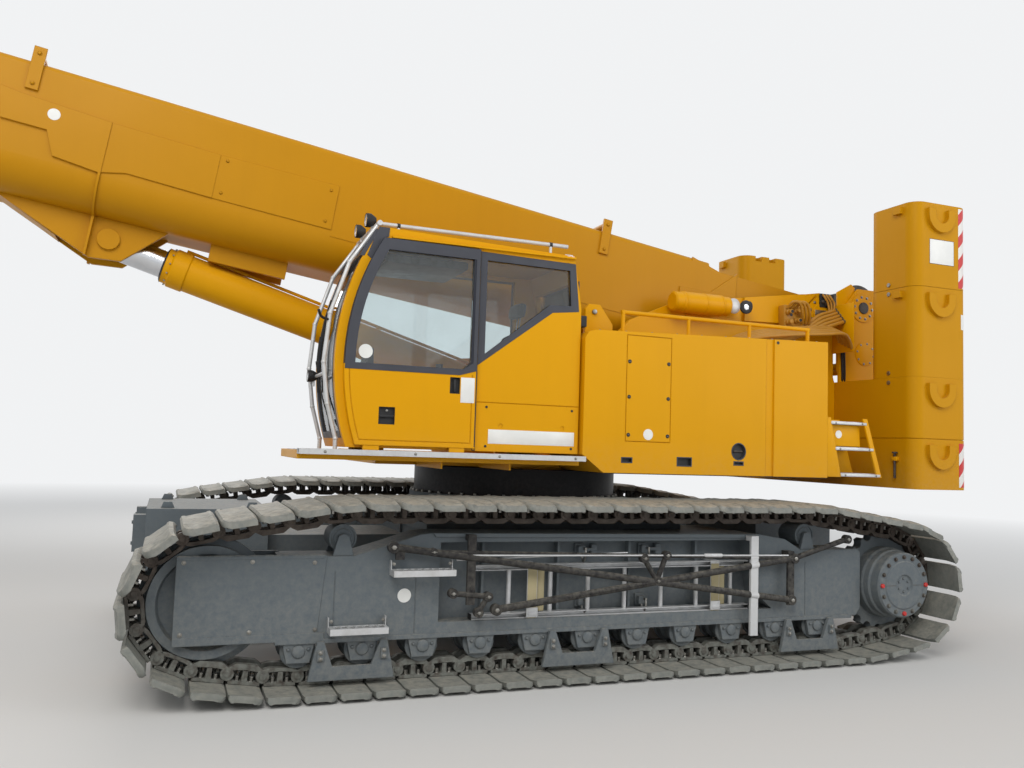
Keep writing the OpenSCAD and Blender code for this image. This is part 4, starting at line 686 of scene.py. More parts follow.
def add_frame_details():
    """Bolts, lugs, blank sign and weld beads on a track frame."""
    corners = ((2.94, 0.87), (2.94, 0.42), (2.10, 0.42), (2.12, 0.86), (2.52, 0.42), (2.52, 0.87))
    shape = Shape("bolt").bolts(1.832, corners, 0.011, 0.009)
    for x in (-1.92, 0.175, 1.85):
        shape.bolts(1.881, product((x - 0.212, x + 0.212), (0.235, 0.275)), 0.011, 0.010)
    shape.bolts(1.867, ((1.19, 0.845), (1.59, 0.845), (1.65, 0.475), (2.00, 0.475)), 0.009, 0.010)
    shape.use("grey")
    for x in (2.200 - 0.422 * i for i in range(11)):
        shape.disc((x, 1.825, 0.280), LEFT, 0.040, 0.012, 20, (0.016, 0.034))
        shape.bolts(FRAME_FACE, ((x - 0.065, 0.295), (x + 0.065, 0.295)), 0.010, 0.010)
    # Weld beads down the frame's joints, and a grease point
    for x in (-1.90, 1.98, 1.42):
        shape.rod((x, FRAME_FACE, 0.37), (x, FRAME_FACE, 0.80), 0.004, 8)
    shape.disc((-1.75, FRAME_FACE, 0.55), LEFT, 0.016, 0.02, 16, (0.026, 0.010))
    shape.done_both("frame_bolts", "frame_paint")
    sign = Shape("label").disc((1.50, FRAME_FACE, 0.625), LEFT, 0.048, 0.0015)
    sign.done("blank_sign_frame", "frame_paint", "undercarriage")


def add_shackles():
    """Lashing lugs on the back wall of the frame's recess, each with a hanging shackle."""
    bow = ((-0.030, 0.012), (-0.036, -0.03), (-0.022, -0.070), (0.0, -0.084), (0.022, -0.070), (0.036, -0.03),
           (0.030, 0.012))
    shape = Shape()
    for x, z, across in ((0.128, 0.91, 0.128), (-0.417, 0.91, 0.142), (0.117, 0.526, 0.0), (-0.399, 0.521, 0.0)):
        shape.use("grey").box((x - 0.06, 1.672, z - 0.045), (x + 0.02, 1.700, z + 0.045), 0.004)
        shape.plate(rect(x - 0.05, x + 0.01, z - 0.03, z + 0.03), 1.697, 1.742, 0.006)
        shape.use("bolt").sweep([(x - 0.035, 1.735 + dy, z + dz) for dy, dz in bow], 0.008, 10, 4)
        shape.rod((x - 0.035, 1.695, z + 0.012), (x - 0.035, 1.775, z + 0.012), 0.009, 12)
        if across:
            end = x - across
            shape.use("grey").box((end - 0.03, 1.672, z - 0.04), (end + 0.02, 1.720, z + 0.04), 0.004)
            shape.rod((end - 0.02, 1.712, z), (x - 0.05, 1.712, z), 0.014, 14)
    shape.done_both("lashing_shackles", "dark_steel")


def add_ladder_details():
    """Webbing straps with buckles over the stowed ladder, its end caps, and pins of the struts."""
    shape = Shape()
    for x in (0.540, -1.030):
        shape.use("beige").box((x - 0.036, 1.8125, 0.405), (x + 0.036, 1.8165, 0.800), 0.001)
        shape.box((x - 0.105, 1.786, 0.478), (x - 0.050, 1.790, 0.775), 0.001)
        shape.use("silver").box((x - 0.045, 1.816, 0.440), (x + 0.045, 1.826, 0.510), 0.003)
        shape.box((x - 0.032, 1.825, 0.455), (x + 0.032, 1.831, 0.478), 0.002)
    shape.use("rubber")
    for z, x in product((0.434, 0.779), (-1.353, 1.003)):
        shape.box((x - 0.004, 1.745, z - 0.001), (x + 0.004, 1.809, z + 0.041), 0.002)
    shape.use("bolt")
    for x, z, r in ((1.608, 0.964, 0.026), (-1.696, 0.510, 0.026), (0.850, 0.520, 0.026), (-1.724, 0.842, 0.026),
                    (1.325, 0.929, 0.014), (-2.262, 0.993, 0.022), (1.175, 0.642, 0.02), (0.915, 0.613, 0.02),
                    (0.983, 0.504, 0.02), (-0.333, 0.862, 0.02), (-0.528, 0.883, 0.02), (-0.448, 0.692, 0.02)):
        shape.rod((x, 1.872, z), (x, 1.936, z), r * 0.6, 14, 0.002)
        shape.rod((x - 0.02, 1.931, z), (x + 0.02, 1.931, z), 0.0025, 8)
    # Long silver tie rod with its turnbuckle, along the struts
    shape.use("silver").rod((1.240, 1.912, 0.905), (-1.66, 1.912, 0.868), 0.007, 12)
    shape.lathe([(0, 0.008), (0.01, 0.016), (0.16, 0.016), (0.17, 0.008)], (-0.86, 1.912, 0.879),
                (-0.80, 0, -0.011), 16)
    shape.rod((1.150, 1.888, 0.868), (-0.20, 1.888, 0.905), 0.006, 12)
    shape.done("ladder_straps", "aluminium", "undercarriage")


def add_carbody_details():
    """Bolts of the slewing ring, ends of the cross beams and the central ballast's fittings."""
    shape = Shape("bolt")
    for x, y in around(0, 0, 0.960, 48, pi / 48):
        shape.rod((x, y, 1.249), (x, y, 1.268), 0.013, 6)
    for x, side, dx, z in product((-0.9, 0.9), (-1, 1), (-0.24, -0.08, 0.08, 0.24), (0.56, 0.96)):
        shape.bolt((x + dx, side * 1.445, z), (0, -side, 0), 0.014, 0.014)
    shape.use("grey")
    for end in (-1, 1):
        for y, x in product((-0.5, 0.5), (2.42, 3.05)):
            lug = ((x - 0.05, 1.116), (x + 0.05, 1.116), (x + 0.03, 1.165), (x - 0.03, 1.165))
            shape.plate([(end * u, v) for u, v in lug], y - 0.012, y + 0.012, 0.003)
        for y, z in product((-0.4, 0.4), (0.84, 1.0)):
            shape.bolt((end * 3.289, y, z), (end, 0, 0), 0.014, 0.012)
    # Pipes along the car body to the final drives
    shape.use("rubber")
    for side, k in product((-1, 1), (0, 1)):
        y = side * (0.93 + 0.05 * k)
        shape.sweep([(-0.6, side * 0.80, 1.132), (-1.0, y, 1.135), (-1.17, y, 1.10), (-1.19, y, 0.95),
                     (-1.30, side * (1.20 + 0.04 * k), 0.90), (-1.45, side * 1.47, 0.90)], 0.014, 8, 5)
    shape.done("carbody_fittings", "dark_steel", "undercarriage")


# Cab, with the axis of its curved front
ARC_X, ARC_Z = 0.091, 2.250


def arc(r, z0, z1, count=14):
    """Places on the cab's curved front, from a lower to an upper height."""
    heights = [z0 + (z1 - z0) * k / (count - 1) for k in range(count)]
    return [(ARC_X + sqrt(r * r - (z - ARC_Z) ** 2), z) for z in heights]


def arc_strip(shape, r0, r1, z0, z1, y0, y1, count=20):
    shape.loft([[(ax, y0, az), (bx, y0, bz), (bx, y1, bz), (ax, y1, az)]
                for (ax, az), (bx, bz) in zip(arc(r0, z0, z1, count), arc(r1, z0, z1, count))])


def pocket(shape, x0, x1, z0, z1, depth, t=0.002):
    """Black lining of a pocket in the face of the door or the left cover."""
    back = COVER_FACE - depth
    shape.use("rubber").box((x0, back, z0), (x1, back + t, z1))
    for a, b, low, high in ((x0, x1, z0, z0 + t), (x0, x1, z1 - t, z1), (x0, x0 + t, z0, z1), (x1 - t, x1, z0, z1)):
        shape.box((a, back, low), (b, COVER_FACE + 0.001, high))


def add_door_trim():
    shape = Shape("charcoal")
    outer = [(0.926, 2.234), (1.06, 2.196), *arc(1.834, 2.196, 3.176), (0.926, 3.168)]
    glass = [(0.955, 2.292), (1.03, 2.243), *arc(1.760, 2.243, 3.092), (0.955, 3.088)]
    opening = [(0.9725, 2.30), (1.035, 2.2405), *arc(1.7875, 2.2405, 3.1095), (0.9725, 3.1095)]
    shape.ring(outer, glass, 1.5165, 1.5205)
    shape.use("rubber").ring(opening, glass, 1.4975, 1.5168)
    # Lock pocket, pull pocket and reflector
    pocket(shape, 1.545, 1.664, 1.805, 1.931, 0.0235)
    pocket(shape, 1.055, 1.132, 2.055, 2.177, 0.0235)
    shape.box((1.552, 1.4915, 1.855), (1.657, 1.5125, 1.875), 0.003)
    shape.box((1.083, 1.4915, 2.069), (1.103, 1.5125, 2.163), 0.003)
    shape.use("bolt").disc((1.605, 1.5125, 1.905), LEFT, 0.009, 0.004, 16, (0.005, 0.006))
    shape.use("label").box((0.938, 1.5165, 1.990), (1.047, 1.519, 2.180), 0.001)
    # Blank sign on the pane, and the seal between door and shell
    shape.disc((1.775, 1.4972, 2.330), LEFT, 0.052, 0.0012)
    shape.use("rubber").box((0.9225, 1.4755, 1.66), (0.929, 1.5175, 3.165))
    shape.done("door_trim", "charcoal_plastic", "cab_door")


def add_shell_trim():
    shape = Shape("charcoal")
    outer = [(0.905, 3.168), (0.100, 3.152), (0.060, 2.768), (0.290, 2.742), (0.905, 2.285)]
    opening = [(0.8695, 3.1195), (0.1305, 3.1095), (0.1105, 2.7955), (0.308, 2.7855), (0.8695, 2.3405)]
    glass = [(0.850, 3.104), (0.148, 3.094), (0.130, 2.810), (0.316, 2.801), (0.850, 2.374)]
    shape.ring(outer, glass, 1.4685, 1.4705)
    shape.use("rubber").ring(opening, glass, 1.4495, SHELL_FACE)
    # Charcoal frame round the windscreen and the dark visor over it
    shape.use("charcoal")
    for y in (0.655, 1.368):
        arc_strip(shape, 1.885, 1.9025, 1.70, 3.12, y, y + 0.046)
    arc_strip(shape, 1.885, 1.9022, 1.695, 1.742, 0.655, 1.414, 4)
    arc_strip(shape, 1.890, 1.919, 3.035, 3.245, 0.615, 1.470, 8)
    shape.plate([(1.629, 3.264), (1.634, 3.197), (1.672, 3.181), (1.746, 3.010), (1.790, 3.045), (1.708, 3.264)],
                1.4685, 1.4755)
    gap = (0.905, 0.929, 1.632, 2.235)
    shape.use("rubber").ring(rect(*gap), rect(*gap, -0.004), 1.4688, 1.474)
    # Frames of the rear window and of the window on the boom's side
    rear = (0.66, 1.409, 2.42, 3.03)
    shape.use("charcoal").ring(rect(*rear), rect(*rear, -0.045), 0.034, 0.0405, lambda u, v, w: crane(v, u, w))
    side = [(0.255, 2.255), (1.862, 2.255), (1.872, 2.915), (1.712, 3.160), (0.255, 3.160)]
    hole = [(0.315, 2.315), (1.835, 2.315), (1.835, 2.893), (1.692, 3.105), (0.315, 3.105)]
    shape.ring(side, hole, 0.5965, 0.6005)
    # Wiper with its arm and motor cap
    arm = [(x, 1.20 - 0.10 * k, z) for k, (x, z) in enumerate(arc(1.916, 1.80, 2.30, 6))]
    shape.use("rubber").sweep(arm, 0.006, 8, 3)
    arc_strip(shape, 1.9005, 1.912, 2.05, 2.80, 0.730, 0.742, 18)
    shape.sweep([(x, 0.736, z) for x, z in arc(1.915, 2.28, 2.50, 5)], 0.005, 8, 2)
    shape.disc((ARC_X + 1.845, 1.20, 1.80), AHEAD, 0.03, 0.018, 20, (0.026, 0.02))
    # Blank plate on the lower box, its fasteners and the amber marker at the roof's rear corner
    shape.use("label").box((0.075, 1.4685, 1.690), (0.800, 1.4700, 1.800), 0.0006)
    shape.use("rubber")
    for x, z in product((0.10, 0.82), (1.67, 1.97)):
        shape.disc((x, SHELL_FACE, z), LEFT, 0.010, 0.003, 14, (0.004, 0.006))
    shape.use("amber").box((0.115, 1.440, 3.190), (0.175, 1.4735, 3.214), 0.003)
    shape.use("silver").box((0.125, 1.380, 3.214), (0.190, 1.462, 3.226), 0.002)
    # Rubber block on the cab's back
    shape.use("rubber").box((-0.02, 1.36, 2.655), (0.038, 1.455, 2.745), 0.006)
    shape.done("cab_trim", "charcoal_plastic")


def add_cab_lamps():
    shape = Shape()
    for x, y, z, r in ((1.730, 0.840, 3.362, 0.052), (1.730, 1.229, 3.362, 0.052), (2.078, 1.000, 2.161, 0.044)):
        shape.use("lamp").lathe([(0.020, r - 0.007), (0.026, r - 0.007), (0.031, r * 0.6), (0.033, 0.001)],
                                (x, y, z), AHEAD, 28)
        shape.use("rubber").lathe([(-0.043, 0.001), (-0.043, r * 0.53), (-0.011, r * 0.93), (0.0, r + 0.0015),
                                   (0.0345, r + 0.0015), (0.0345, r - 0.0055), (0.027, r - 0.0055),
                                   (0.021, r - 0.010), (0.019, 0.001)], (x, y, z), AHEAD, 28)
    # Tinted pane of the roof hatch
    hatch = ((0.505, 0.835, 3.250), (1.095, 0.835, 3.268), (1.095, 1.234, 3.268), (0.505, 1.234, 3.250))
    shape.use("glass").loft([[(x, y, z + up) for x, y, z in hatch] for up in (0, 0.004)])
    # Clamps of the roof rail
    for x in (0.30, 1.55):
        shape.use("rubber").disc((x - 0.011, 1.409, 3.300), AHEAD, 0.020, 0.022, 16)
    # Bent arm at the cab's front corner
    shape.sweep([(2.035, 1.409, 2.55), (2.10, 1.47, 2.56), (2.13, 1.52, 2.60)], 0.010, 8, 4)
    shape.done("cab_lamps", "charcoal_plastic")


def pad(name, centre, half, tilt, crown, seams):
    """An upholstered cushion: crowned, pulled in at its corners, with sewn channels across it."""
    bm = bmesh.new()
    bmesh.ops.create_grid(bm, x_segments=28, y_segments=24, size=1.0)
    top = bm.verts[:]
    lower = bmesh.ops.duplicate(bm, geom=bm.verts[:] + bm.edges[:] + bm.faces[:])
    low = [g for g in lower["geom"] if isinstance(g, bmesh.types.BMVert)]
    low_of = dict(zip(top, low))
    for e in [e for e in bm.edges if e.is_boundary and e.verts[0] in low_of]:
        a, b = e.verts
        bm.faces.new((a, b, low_of[b], low_of[a]))
    turn = Matrix.Rotation(radians(tilt), 3, "Y")
    for verts, side in ((top, 1.0), (low, -1.0)):
        for v in verts:
            u, w = v.co.x, v.co.y
            pull = 1.0 - 0.05 * (u * u * w * w)
            rim = (1 - abs(u) ** 6) * (1 - abs(w) ** 6)
            height = half[2] * (0.55 + 0.45 * rim ** 0.5)
            if side > 0:
                height += crown * (1 - u * u) * (1 - w * w)
                height -= sum(0.011 * exp(-((u - s) / 0.035) ** 2) for s in seams)
                height -= 0.009 * exp(-((abs(w) - 0.62) / 0.03) ** 2)
            v.co = turn @ Vector((u * half[0] * pull, w * half[1] * pull, side * height)) + at(centre)
    bmesh.ops.recalc_face_normals(bm, faces=bm.faces)
    for f in bm.faces:
        f.smooth = True
    data = bpy.data.meshes.new(name)
    bm.to_mesh(data)
    bm.free()
    data.materials.append(M["fabric"])
    piece = put(name, data, "superstructure", ["cab_seat"])
    soft = piece.modifiers.new("soft", "SUBSURF")
    soft.levels = soft.render_levels = 1


def add_seat():
    """Operator's seat on its bellows, and the controls and ceiling panel round it."""
    folds = [(0.06 + 0.03 * k, 0.17 + 0.03 * (k % 2)) for k in range(6)]
    shape = Shape("rubber").lathe([(0, 0.20), (0.05, 0.20), *folds, (0.24, 0.18)], (0.79, 1.05, 1.678), UP)
    shape.use("charcoal").box((0.575, 0.845, 1.925), (1.03, 1.255, 1.962), 0.012)
    shape.loft([[(0.475, 0.85, 2.02), (0.525, 0.85, 2.00), (0.525, 1.25, 2.00), (0.475, 1.25, 2.02)],
                [(0.392, 0.88, 2.600), (0.430, 0.88, 2.610), (0.430, 1.22, 2.610), (0.392, 1.22, 2.600)]], 0.01)
    for y in (1.02, 1.08):
        shape.use("bolt").rod((0.428, y, 2.60), (0.412, y, 2.75), 0.007, 10)
    for y in (0.845, 1.215):
        shape.use("charcoal").box((0.56, y, 2.215), (0.86, y + 0.045, 2.262), 0.018)
        shape.rod((0.53, y + 0.022, 2.19), (0.60, y + 0.022, 2.235), 0.018, 12)
    shape.done("seat_frame", "charcoal_plastic", replaces=["cab_seat"])
    pad("seat_cushion", (0.800, 1.05, 2.020), (0.230, 0.205, 0.050), -2, 0.012, (-0.35, 0.35))
    pad("seat_back", (0.500, 1.05, 2.330), (0.270, 0.195, 0.042), 82, 0.012, (-0.45, 0.05, 0.5))
    pad("head_rest", (0.428, 1.05, 2.795), (0.055, 0.125, 0.036), 82, 0.008, ())
    shape = Shape()
    for y in (0.750, 1.340):
        shape.use("rubber").lathe([(0, 0.055), (0.02, 0.045), (0.03, 0.048), (0.045, 0.036), (0.055, 0.038),
                                   (0.07, 0.024)], (1.17, y, 2.155), UP, 20)
        shape.use("bolt").box((0.86, y - 0.035, 2.205), (1.02, y + 0.035, 2.214), 0.002)
    shape.use("charcoal").box((1.595, 0.715, 2.352), (1.655, 0.945, 2.420), 0.01)
    display = ((1.590, 0.73, 2.195), (1.590, 0.93, 2.195), (1.600, 0.93, 2.345), (1.600, 0.73, 2.345))
    shape.use("lamp").loft([[(x - back, y, z) for x, y, z in display] for back in (0, 0.004)])
    # Ceiling panel with its air outlets and sun blind
    shape.use("charcoal").box((0.95, 0.66, 3.045), (1.60, 1.30, 3.110), 0.012)
    for k in range(4):
        shape.use("rubber").disc((1.10 + 0.14 * k, 1.301, 3.078), LEFT, 0.035, 0.008, 16, (0.012, 0.022))
    shape.rod((1.62, 0.70, 3.07), (1.62, 1.36, 3.07), 0.022, 16)
    shape.done("cab_controls", "charcoal_plastic")


# Covers, deck and counterweights
def left_top(x):
    """Height of the left cover's sloping top."""
    return 2.632 + 0.068 * (-0.07 - x) / 2.32


def right_top(x):
    """Height of the right cover's sloping top."""
    return 2.562 + 0.138 * (0.31 - x) / 2.70


def add_hood_left():
    shape = Shape()
    for slot in ((-0.422, -0.331, 1.578, 1.614), (-0.982, -0.848, 1.562, 1.628), (-1.496, -1.405, 1.581, 1.607)):
        pocket(shape, *slot, 0.024)
        shape.use("charcoal").ring(rect(*slot, 0.006), rect(*slot, -0.003), 1.516, 1.519)
    # Round recess with its frame and bar
    x, z = -1.450, 1.695
    shape.use("rubber").disc((x, 1.4925, z), LEFT, 0.0665, 0.003, 40)
    shape.use("charcoal").ring(around(x, z, 0.074, 40), around(x, z, 0.0655, 40), 1.4925, 1.520)
    shape.use("chain").rod((x - 0.045, 1.500, z), (x + 0.045, 1.500, z), 0.009, 12)
    # Quarter-turn fasteners of the service panel, blank sign and latch
    for x, z in product((-0.385, -0.750), (2.396, 2.108, 1.800)):
        shape.use("rubber").disc((x, 1.5165, z), LEFT, 0.016, 0.003, 20, (0.005, 0.012))
        shape.use("bolt").box((x - 0.009, 1.520, z - 0.0015), (x + 0.009, 1.5225, z + 0.0015))
    shape.use("label").disc((-0.568, COVER_FACE, 1.808), LEFT, 0.045, 0.0016)
    shape.use("rubber").disc((-1.845, 1.5165, 2.655), LEFT, 0.014, 0.003, 16)
    # Lifting eyes and edge bolts of the top, and a thin black sheet under the cover that is painted shade along its
    # lower edge
    shape.use("bolt")
    for x, y in product((-0.25, -2.20), (0.95, 1.38)):
        shape.bolt((x, y, left_top(x)), UP, 0.014, 0.012)
    for x in (-0.12 - 0.24 * k for k in range(10)):
        shape.bolt((x, 1.492, left_top(x)), UP, 0.008, 0.006)
    shape.use("rubber").box((-2.388, 0.745, 1.484), (-0.170, 1.512, 1.491))
    # Bracket with its pin, between cab and cover
    bracket = ((-0.600, 2.640), (-0.325, 2.640), (-0.325, 2.925), (-0.360, 2.970), (-0.470, 2.970), (-0.600, 2.800))
    shape.use("yellow").plate(bracket, 0.745, 0.790, 0.004)
    shape.use("bolt").rod((-0.410, 0.735, 2.900), (-0.410, 0.812, 2.900), 0.022, 18, 0.003)
    shape.done("hood_left_fittings", "charcoal_plastic")


def add_hood_right():
    low_edge = [(0.30 - 0.29 * k, 1.530) for k in range(10)]
    shape = Shape("bolt").bolts(-COVER_FACE, low_edge, 0.009, 0.007)
    shape.bolts(-COVER_FACE, product((-2.34, -1.63), (1.70, 2.08, 2.46)), 0.009, 0.007)
    for x, y in product((0.0, -0.6, -1.2, -1.8, -2.3), (-1.45, -0.80)):
        shape.bolt((x, y, right_top(x)), UP, 0.011, 0.009)
    # Exhaust stub and air-filter cap
    shape.use("chain").lathe([(-0.02, 0.085), (0.015, 0.085), (0.02, 0.065), (0.16, 0.065), (0.17, 0.069),
                              (0.18, 0.065), (0.17, 0.056), (0.06, 0.056)], (-1.90, -1.10, right_top(-1.90)), UP, 28)
    shape.use("rubber").lathe([(-0.02, 0.075), (0.08, 0.075), (0.085, 0.110), (0.15, 0.110), (0.175, 0.07)],
                              (-0.55, -1.12, 2.607), UP, 28)
    shape.done("hood_right_fittings", "yellow_paint")
    latch = (-1.440, -1.300, 1.740, 1.820)
    door = Shape("rubber").plate(rect(*latch), -1.501, -1.499)
    door.ring(rect(*latch, 0.005), rect(*latch, -0.003), -1.519, -1.500)
    door.use("bolt").box((-1.420, -1.514, 1.768), (-1.320, -1.503, 1.792), 0.003)
    door.bolts(-COVER_FACE, product((-1.45, -0.35), (1.66, 2.44)), 0.008, 0.006)
    door.done("engine_door_fittings", "charcoal_plastic", "engine_door")


def corner_strip(shape, side, z0, z1, t, turns):
    """A strip of thickness t round a counterweight's rear corner, at (angle, distance ahead) places."""
    near, far = ([(-3.850 + ahead - r * cos(radians(a)), side * (1.5 + r * sin(radians(a))))
                  for a, ahead in turns] for r in (0.1202, 0.1202 + t))
    shape.loft([[(*a, z0), (*b, z0), (*b, z1), (*a, z1)] for a, b in zip(near, far)])


def add_counterweight_details():
    tape = [(90, 0.015)] + [(90 - 11 * k, 0) for k in range(8)]
    label = [(82 - 9 * k, 0) for k in range(6)]
    plate = (-3.780, -3.477, 3.516, 3.754)
    shape = Shape()
    for side in (-1, 1):
        shape.use("tape")
        corner_strip(shape, side, 3.312, 4.080, 0.0016, tape)
        corner_strip(shape, side, 1.430, 1.840, 0.0016, tape)
        near, far = span(side, 1.6195, 1.6215)
        shape.use("label").box((-3.776, near, 3.520), (-3.481, far, 3.750), 0.0006)
        shape.use("rubber").ring(rect(*plate), rect(*plate, -0.006), *span(side, 1.6190, 1.6208))
        corner_strip(shape.use("label"), side, 2.918, 3.062, 0.0014, label)
        # Pins that tie the blocks together, and the slab's front fastener
        shape.use("bolt")
        for z, dz in product((2.446, 3.297), (-0.045, 0.045)):
            shape.rod((-3.298, side * 1.30, z + dz), (-3.292, side * 1.30, z + dz), 0.020, 16)
        y = side * 1.40
        shape.use("yellow").box((-3.302, y - 0.03, 1.66), (-3.262, y + 0.03, 1.70), 0.004)
        shape.use("chain").rod((-3.275, y, 1.50), (-3.275, y, 1.735), 0.012, 12)
        shape.rod((-3.275, y, 1.730), (-3.275, y, 1.745), 0.026, 12)
    shape.done("counterweight_marks", "counterweight_paint")


# Boom, rope and tail
def add_boom_details():
    shape = Shape("boom")
    for side in (-1, 1):
        for x0, x1 in ((1.60, 4.985), (7.58, 9.92)):
            shape.plate(rect(x0, x1, -0.505, -0.495), *span(side, 0.439, 0.4435), place=boomed)
        # Bolts of the side covers and of the rope guides, and a blank sign
        shape.bolts(side * 0.448, product((5.05, 5.90), (-0.12, -0.39)), 0.010, 0.008, boomed)
        shape.use("label").disc(boomed(7.18, side * 0.4605, -0.14), (0, side, 0), 0.045, 0.0012, 28)
        shape.use("boom").bolts(side * 0.462, product((2.475, 7.370), (0.05, 0.29)), 0.013, 0.012, boomed)
    shape.done("boom_fittings", "boom_paint", "boom")


def add_pivot_keepers():
    shape = Shape("bolt")
    keeper = rect(PIVOT_X - 0.07, PIVOT_X + 0.07, PIVOT_Z - 0.03, PIVOT_Z + 0.03)
    for side in (-1, 1):
        shape.bolts(side * 0.572, around(PIVOT_X, PIVOT_Z, 0.125, 8, 0.2), 0.012, 0.010)
        shape.plate(keeper, *span(side, 0.571, 0.581), 0.003)
        shape.bolts(side * 0.620, around(DRUM_X, DRUM_Z, 0.115, 10, 0.1), 0.011, 0.010)
        shape.bolts(side * 0.226, around(FOOT_X, FOOT_Z, 0.105, 8), 0.010, 0.009)
    shape.done("pin_keepers", "dark_steel")


def add_winch_rope():
    """Windings on the drum, and the rope from the drum up to the sheave on the boom's pivot."""
    profile = [(0.0, 0.191)]
    turns = 44
    step = 0.976 / turns
    for k in range(turns):
        y = 0.012 + step * k
        profile += [(y, 0.197), (y + step * 0.25, 0.2085), (y + step * 0.5, 0.212), (y + step * 0.75, 0.2085)]
    profile += [(0.988, 0.197), (0.998, 0.191)]
    shape = Shape("rope").lathe(profile, (DRUM_X, -0.499, DRUM_Z), LEFT, 64)
    shape.done("rope_windings", "dark_steel", "winch")
    # Outer tangent from the drum's top to the sheave's top
    run = Vector((PIVOT_X - DRUM_X, PIVOT_Z - DRUM_Z))
    r0, r1 = 0.223, 0.2735
    tilt = atan2(run.y, run.x) + asin((r1 - r0) / run.length)
    back, up = -sin(tilt), cos(tilt)
    a = crane(DRUM_X + r0 * back, 0.0, DRUM_Z + r0 * up)
    b = crane(PIVOT_X + r1 * back, 0.0, PIVOT_Z + r1 * up)
    Shape("rope").sweep([a, a.lerp(b, 0.5), b], 0.011).done("rope_to_boom", "dark_steel")


def add_rope_run():
    """Rope that goes out with the last section, and one length more on each other section."""
    along = (2.24, 5.0, 8.0)
    points = [boomed(x, 0.0, 0.331) for x in (*along, 10.300)] + [boomed(10.345, 0.0, 0.3255)]
    # Round the lead sheave and on to the head sheave
    for x, y, z, r, first, turn in ((11.230, 0.0, -0.005, 0.103, 75.5, 50.3),
                                    (11.500, 0.150, -0.950, 0.261, 25.2, 33.7)):
        for a in (radians(first - turn * k / 5) for k in range(6)):
            points.append(boomed(x + r * cos(a), y, z + r * sin(a)))
    shape = Shape("rope").sweep(points, 0.0105)
    # Arm and roller that hold the rope clear of the sections' collars
    shape.use("boom")
    for y in (-0.045, 0.045):
        shape.rod(boomed(10.975, y, 0.045), boomed(10.335, y, 0.2935), 0.011, 10)
    shape.use("chain").lathe([(-0.034, 0.001), (-0.034, 0.034), (-0.026, 0.034), (-0.016, 0.0255), (0.016, 0.0255),
                              (0.026, 0.034), (0.034, 0.034), (0.034, 0.001)], boomed(10.335, 0.0, 0.2945), LEFT, 24)
    shape.use("bolt").rod(boomed(10.335, -0.062, 0.2945), boomed(10.335, 0.062, 0.2945), 0.008, 10)
    shape.done("rope_run", "dark_steel", "tele_5")
    for k in range(1, 5):
        strand = Shape("rope").sweep([boomed(x, 0.0, 0.331) for x in (*along, 10.345)], 0.0104 - 0.0001 * k)
        strand.done(f"rope_run_{k}", "dark_steel", f"tele_{k}")


def add_tail_hoses():
    """Painted hydraulic hoses that run along the deck and fan out to the boom's tail."""
    shape = Shape("hose")
    hoses(shape, 5, 0.030, ((-3.268, 0.615, 3.189, 0.033), (-3.15, 0.650, 3.150, 0.033), (-3.00, 0.670, 3.100, 0.033),
                            (-2.86, 0.655, 3.000, 0.022), (-2.72, 0.625, 2.940, 0.018), (-2.56, 0.610, 2.905, 0.022),
                            (-2.30, 0.625, 2.862, 0.022), (-2.05, 0.625, 2.800, 0.025)), 0.0205)
    hoses(shape, 5, 0.045, ((-3.262, 0.670, 2.850, 0.020), (-3.18, 0.720, 2.925, 0.020), (-3.04, 0.800, 2.965, 0.020),
                            (-2.80, 0.820, 2.950, 0.022), (-2.50, 0.815, 2.915, 0.020), (-2.20, 0.805, 2.870, 0.018),
                            (-1.95, 0.795, 2.810, 0.014), (-1.78, 0.795, 2.712, 0.0)), 0.0160)
    # Sockets of the hoses in their plate
    for k in range(5):
        shape.use("chain").disc((-3.272, 0.615 + 0.030 * k, 3.189 - 0.033 * k), (0.172, 0.05, -0.054), 0.0235, 0.035,
                                14, (0.037, 0.019))
    shape.use("yellow").box((-3.276, 0.561, 2.740), (-3.262, 0.870, 3.235), 0.003)
    # Valve block beside the fan of hoses, with its ports, short hoses and caps
    shape.use("hose").box((-2.770, 0.592, 2.960), (-2.560, 0.690, 3.175), 0.012)
    for x, z in ((-2.60, 3.10), (-2.60, 3.00), (-2.70, 3.12), (-2.70, 3.02)):
        shape.lathe([(0, 0.030), (0.03, 0.030), (0.034, 0.024), (0.07, 0.024), (0.074, 0.016)], (x, 0.688, z),
                    LEFT, 18)
    for dx in (0.0, 0.045, 0.090):
        shape.sweep([(-2.59 - dx, 0.700, 3.140), (-2.61 - dx, 0.765, 3.195), (-2.68 - dx, 0.780, 3.180),
                     (-2.73 - dx, 0.755, 3.080), (-2.77 - dx / 1.125, 0.70, 3.000)], 0.014, 8, 5)
    for x, z in ((-2.60, 3.10), (-2.70, 3.02), (-2.585, 3.065)):
        shape.use("rubber").disc((x, 0.763, z), LEFT, 0.016, 0.003, 14)
    # Black panel in its frame at the boom's tail, with ports: painted shade standing in for the dark inside of an
    # opening in the tail plate
    shape.box((-3.262, 0.573, 3.210), (-3.085, 0.592, 3.352), 0.004)
    for k in range(4):
        port = (-3.235 + 0.04 * k, 0.590, 3.245 + 0.02 * (k % 2))
        shape.use("chain").disc(port, LEFT, 0.018, 0.02, 14, (0.024, 0.012))
    for dx in (0.0, 0.04, 0.08):
        shape.use("hose").sweep([(-3.11 - dx, 0.600, 3.34), (-3.12 - dx, 0.625, 3.30), (-3.15 - dx, 0.630, 3.25),
                                 (-3.16 - dx * 0.75, 0.640, 3.17)], 0.011, 8, 5)
    shape.done("tail_hoses", "yellow_paint")


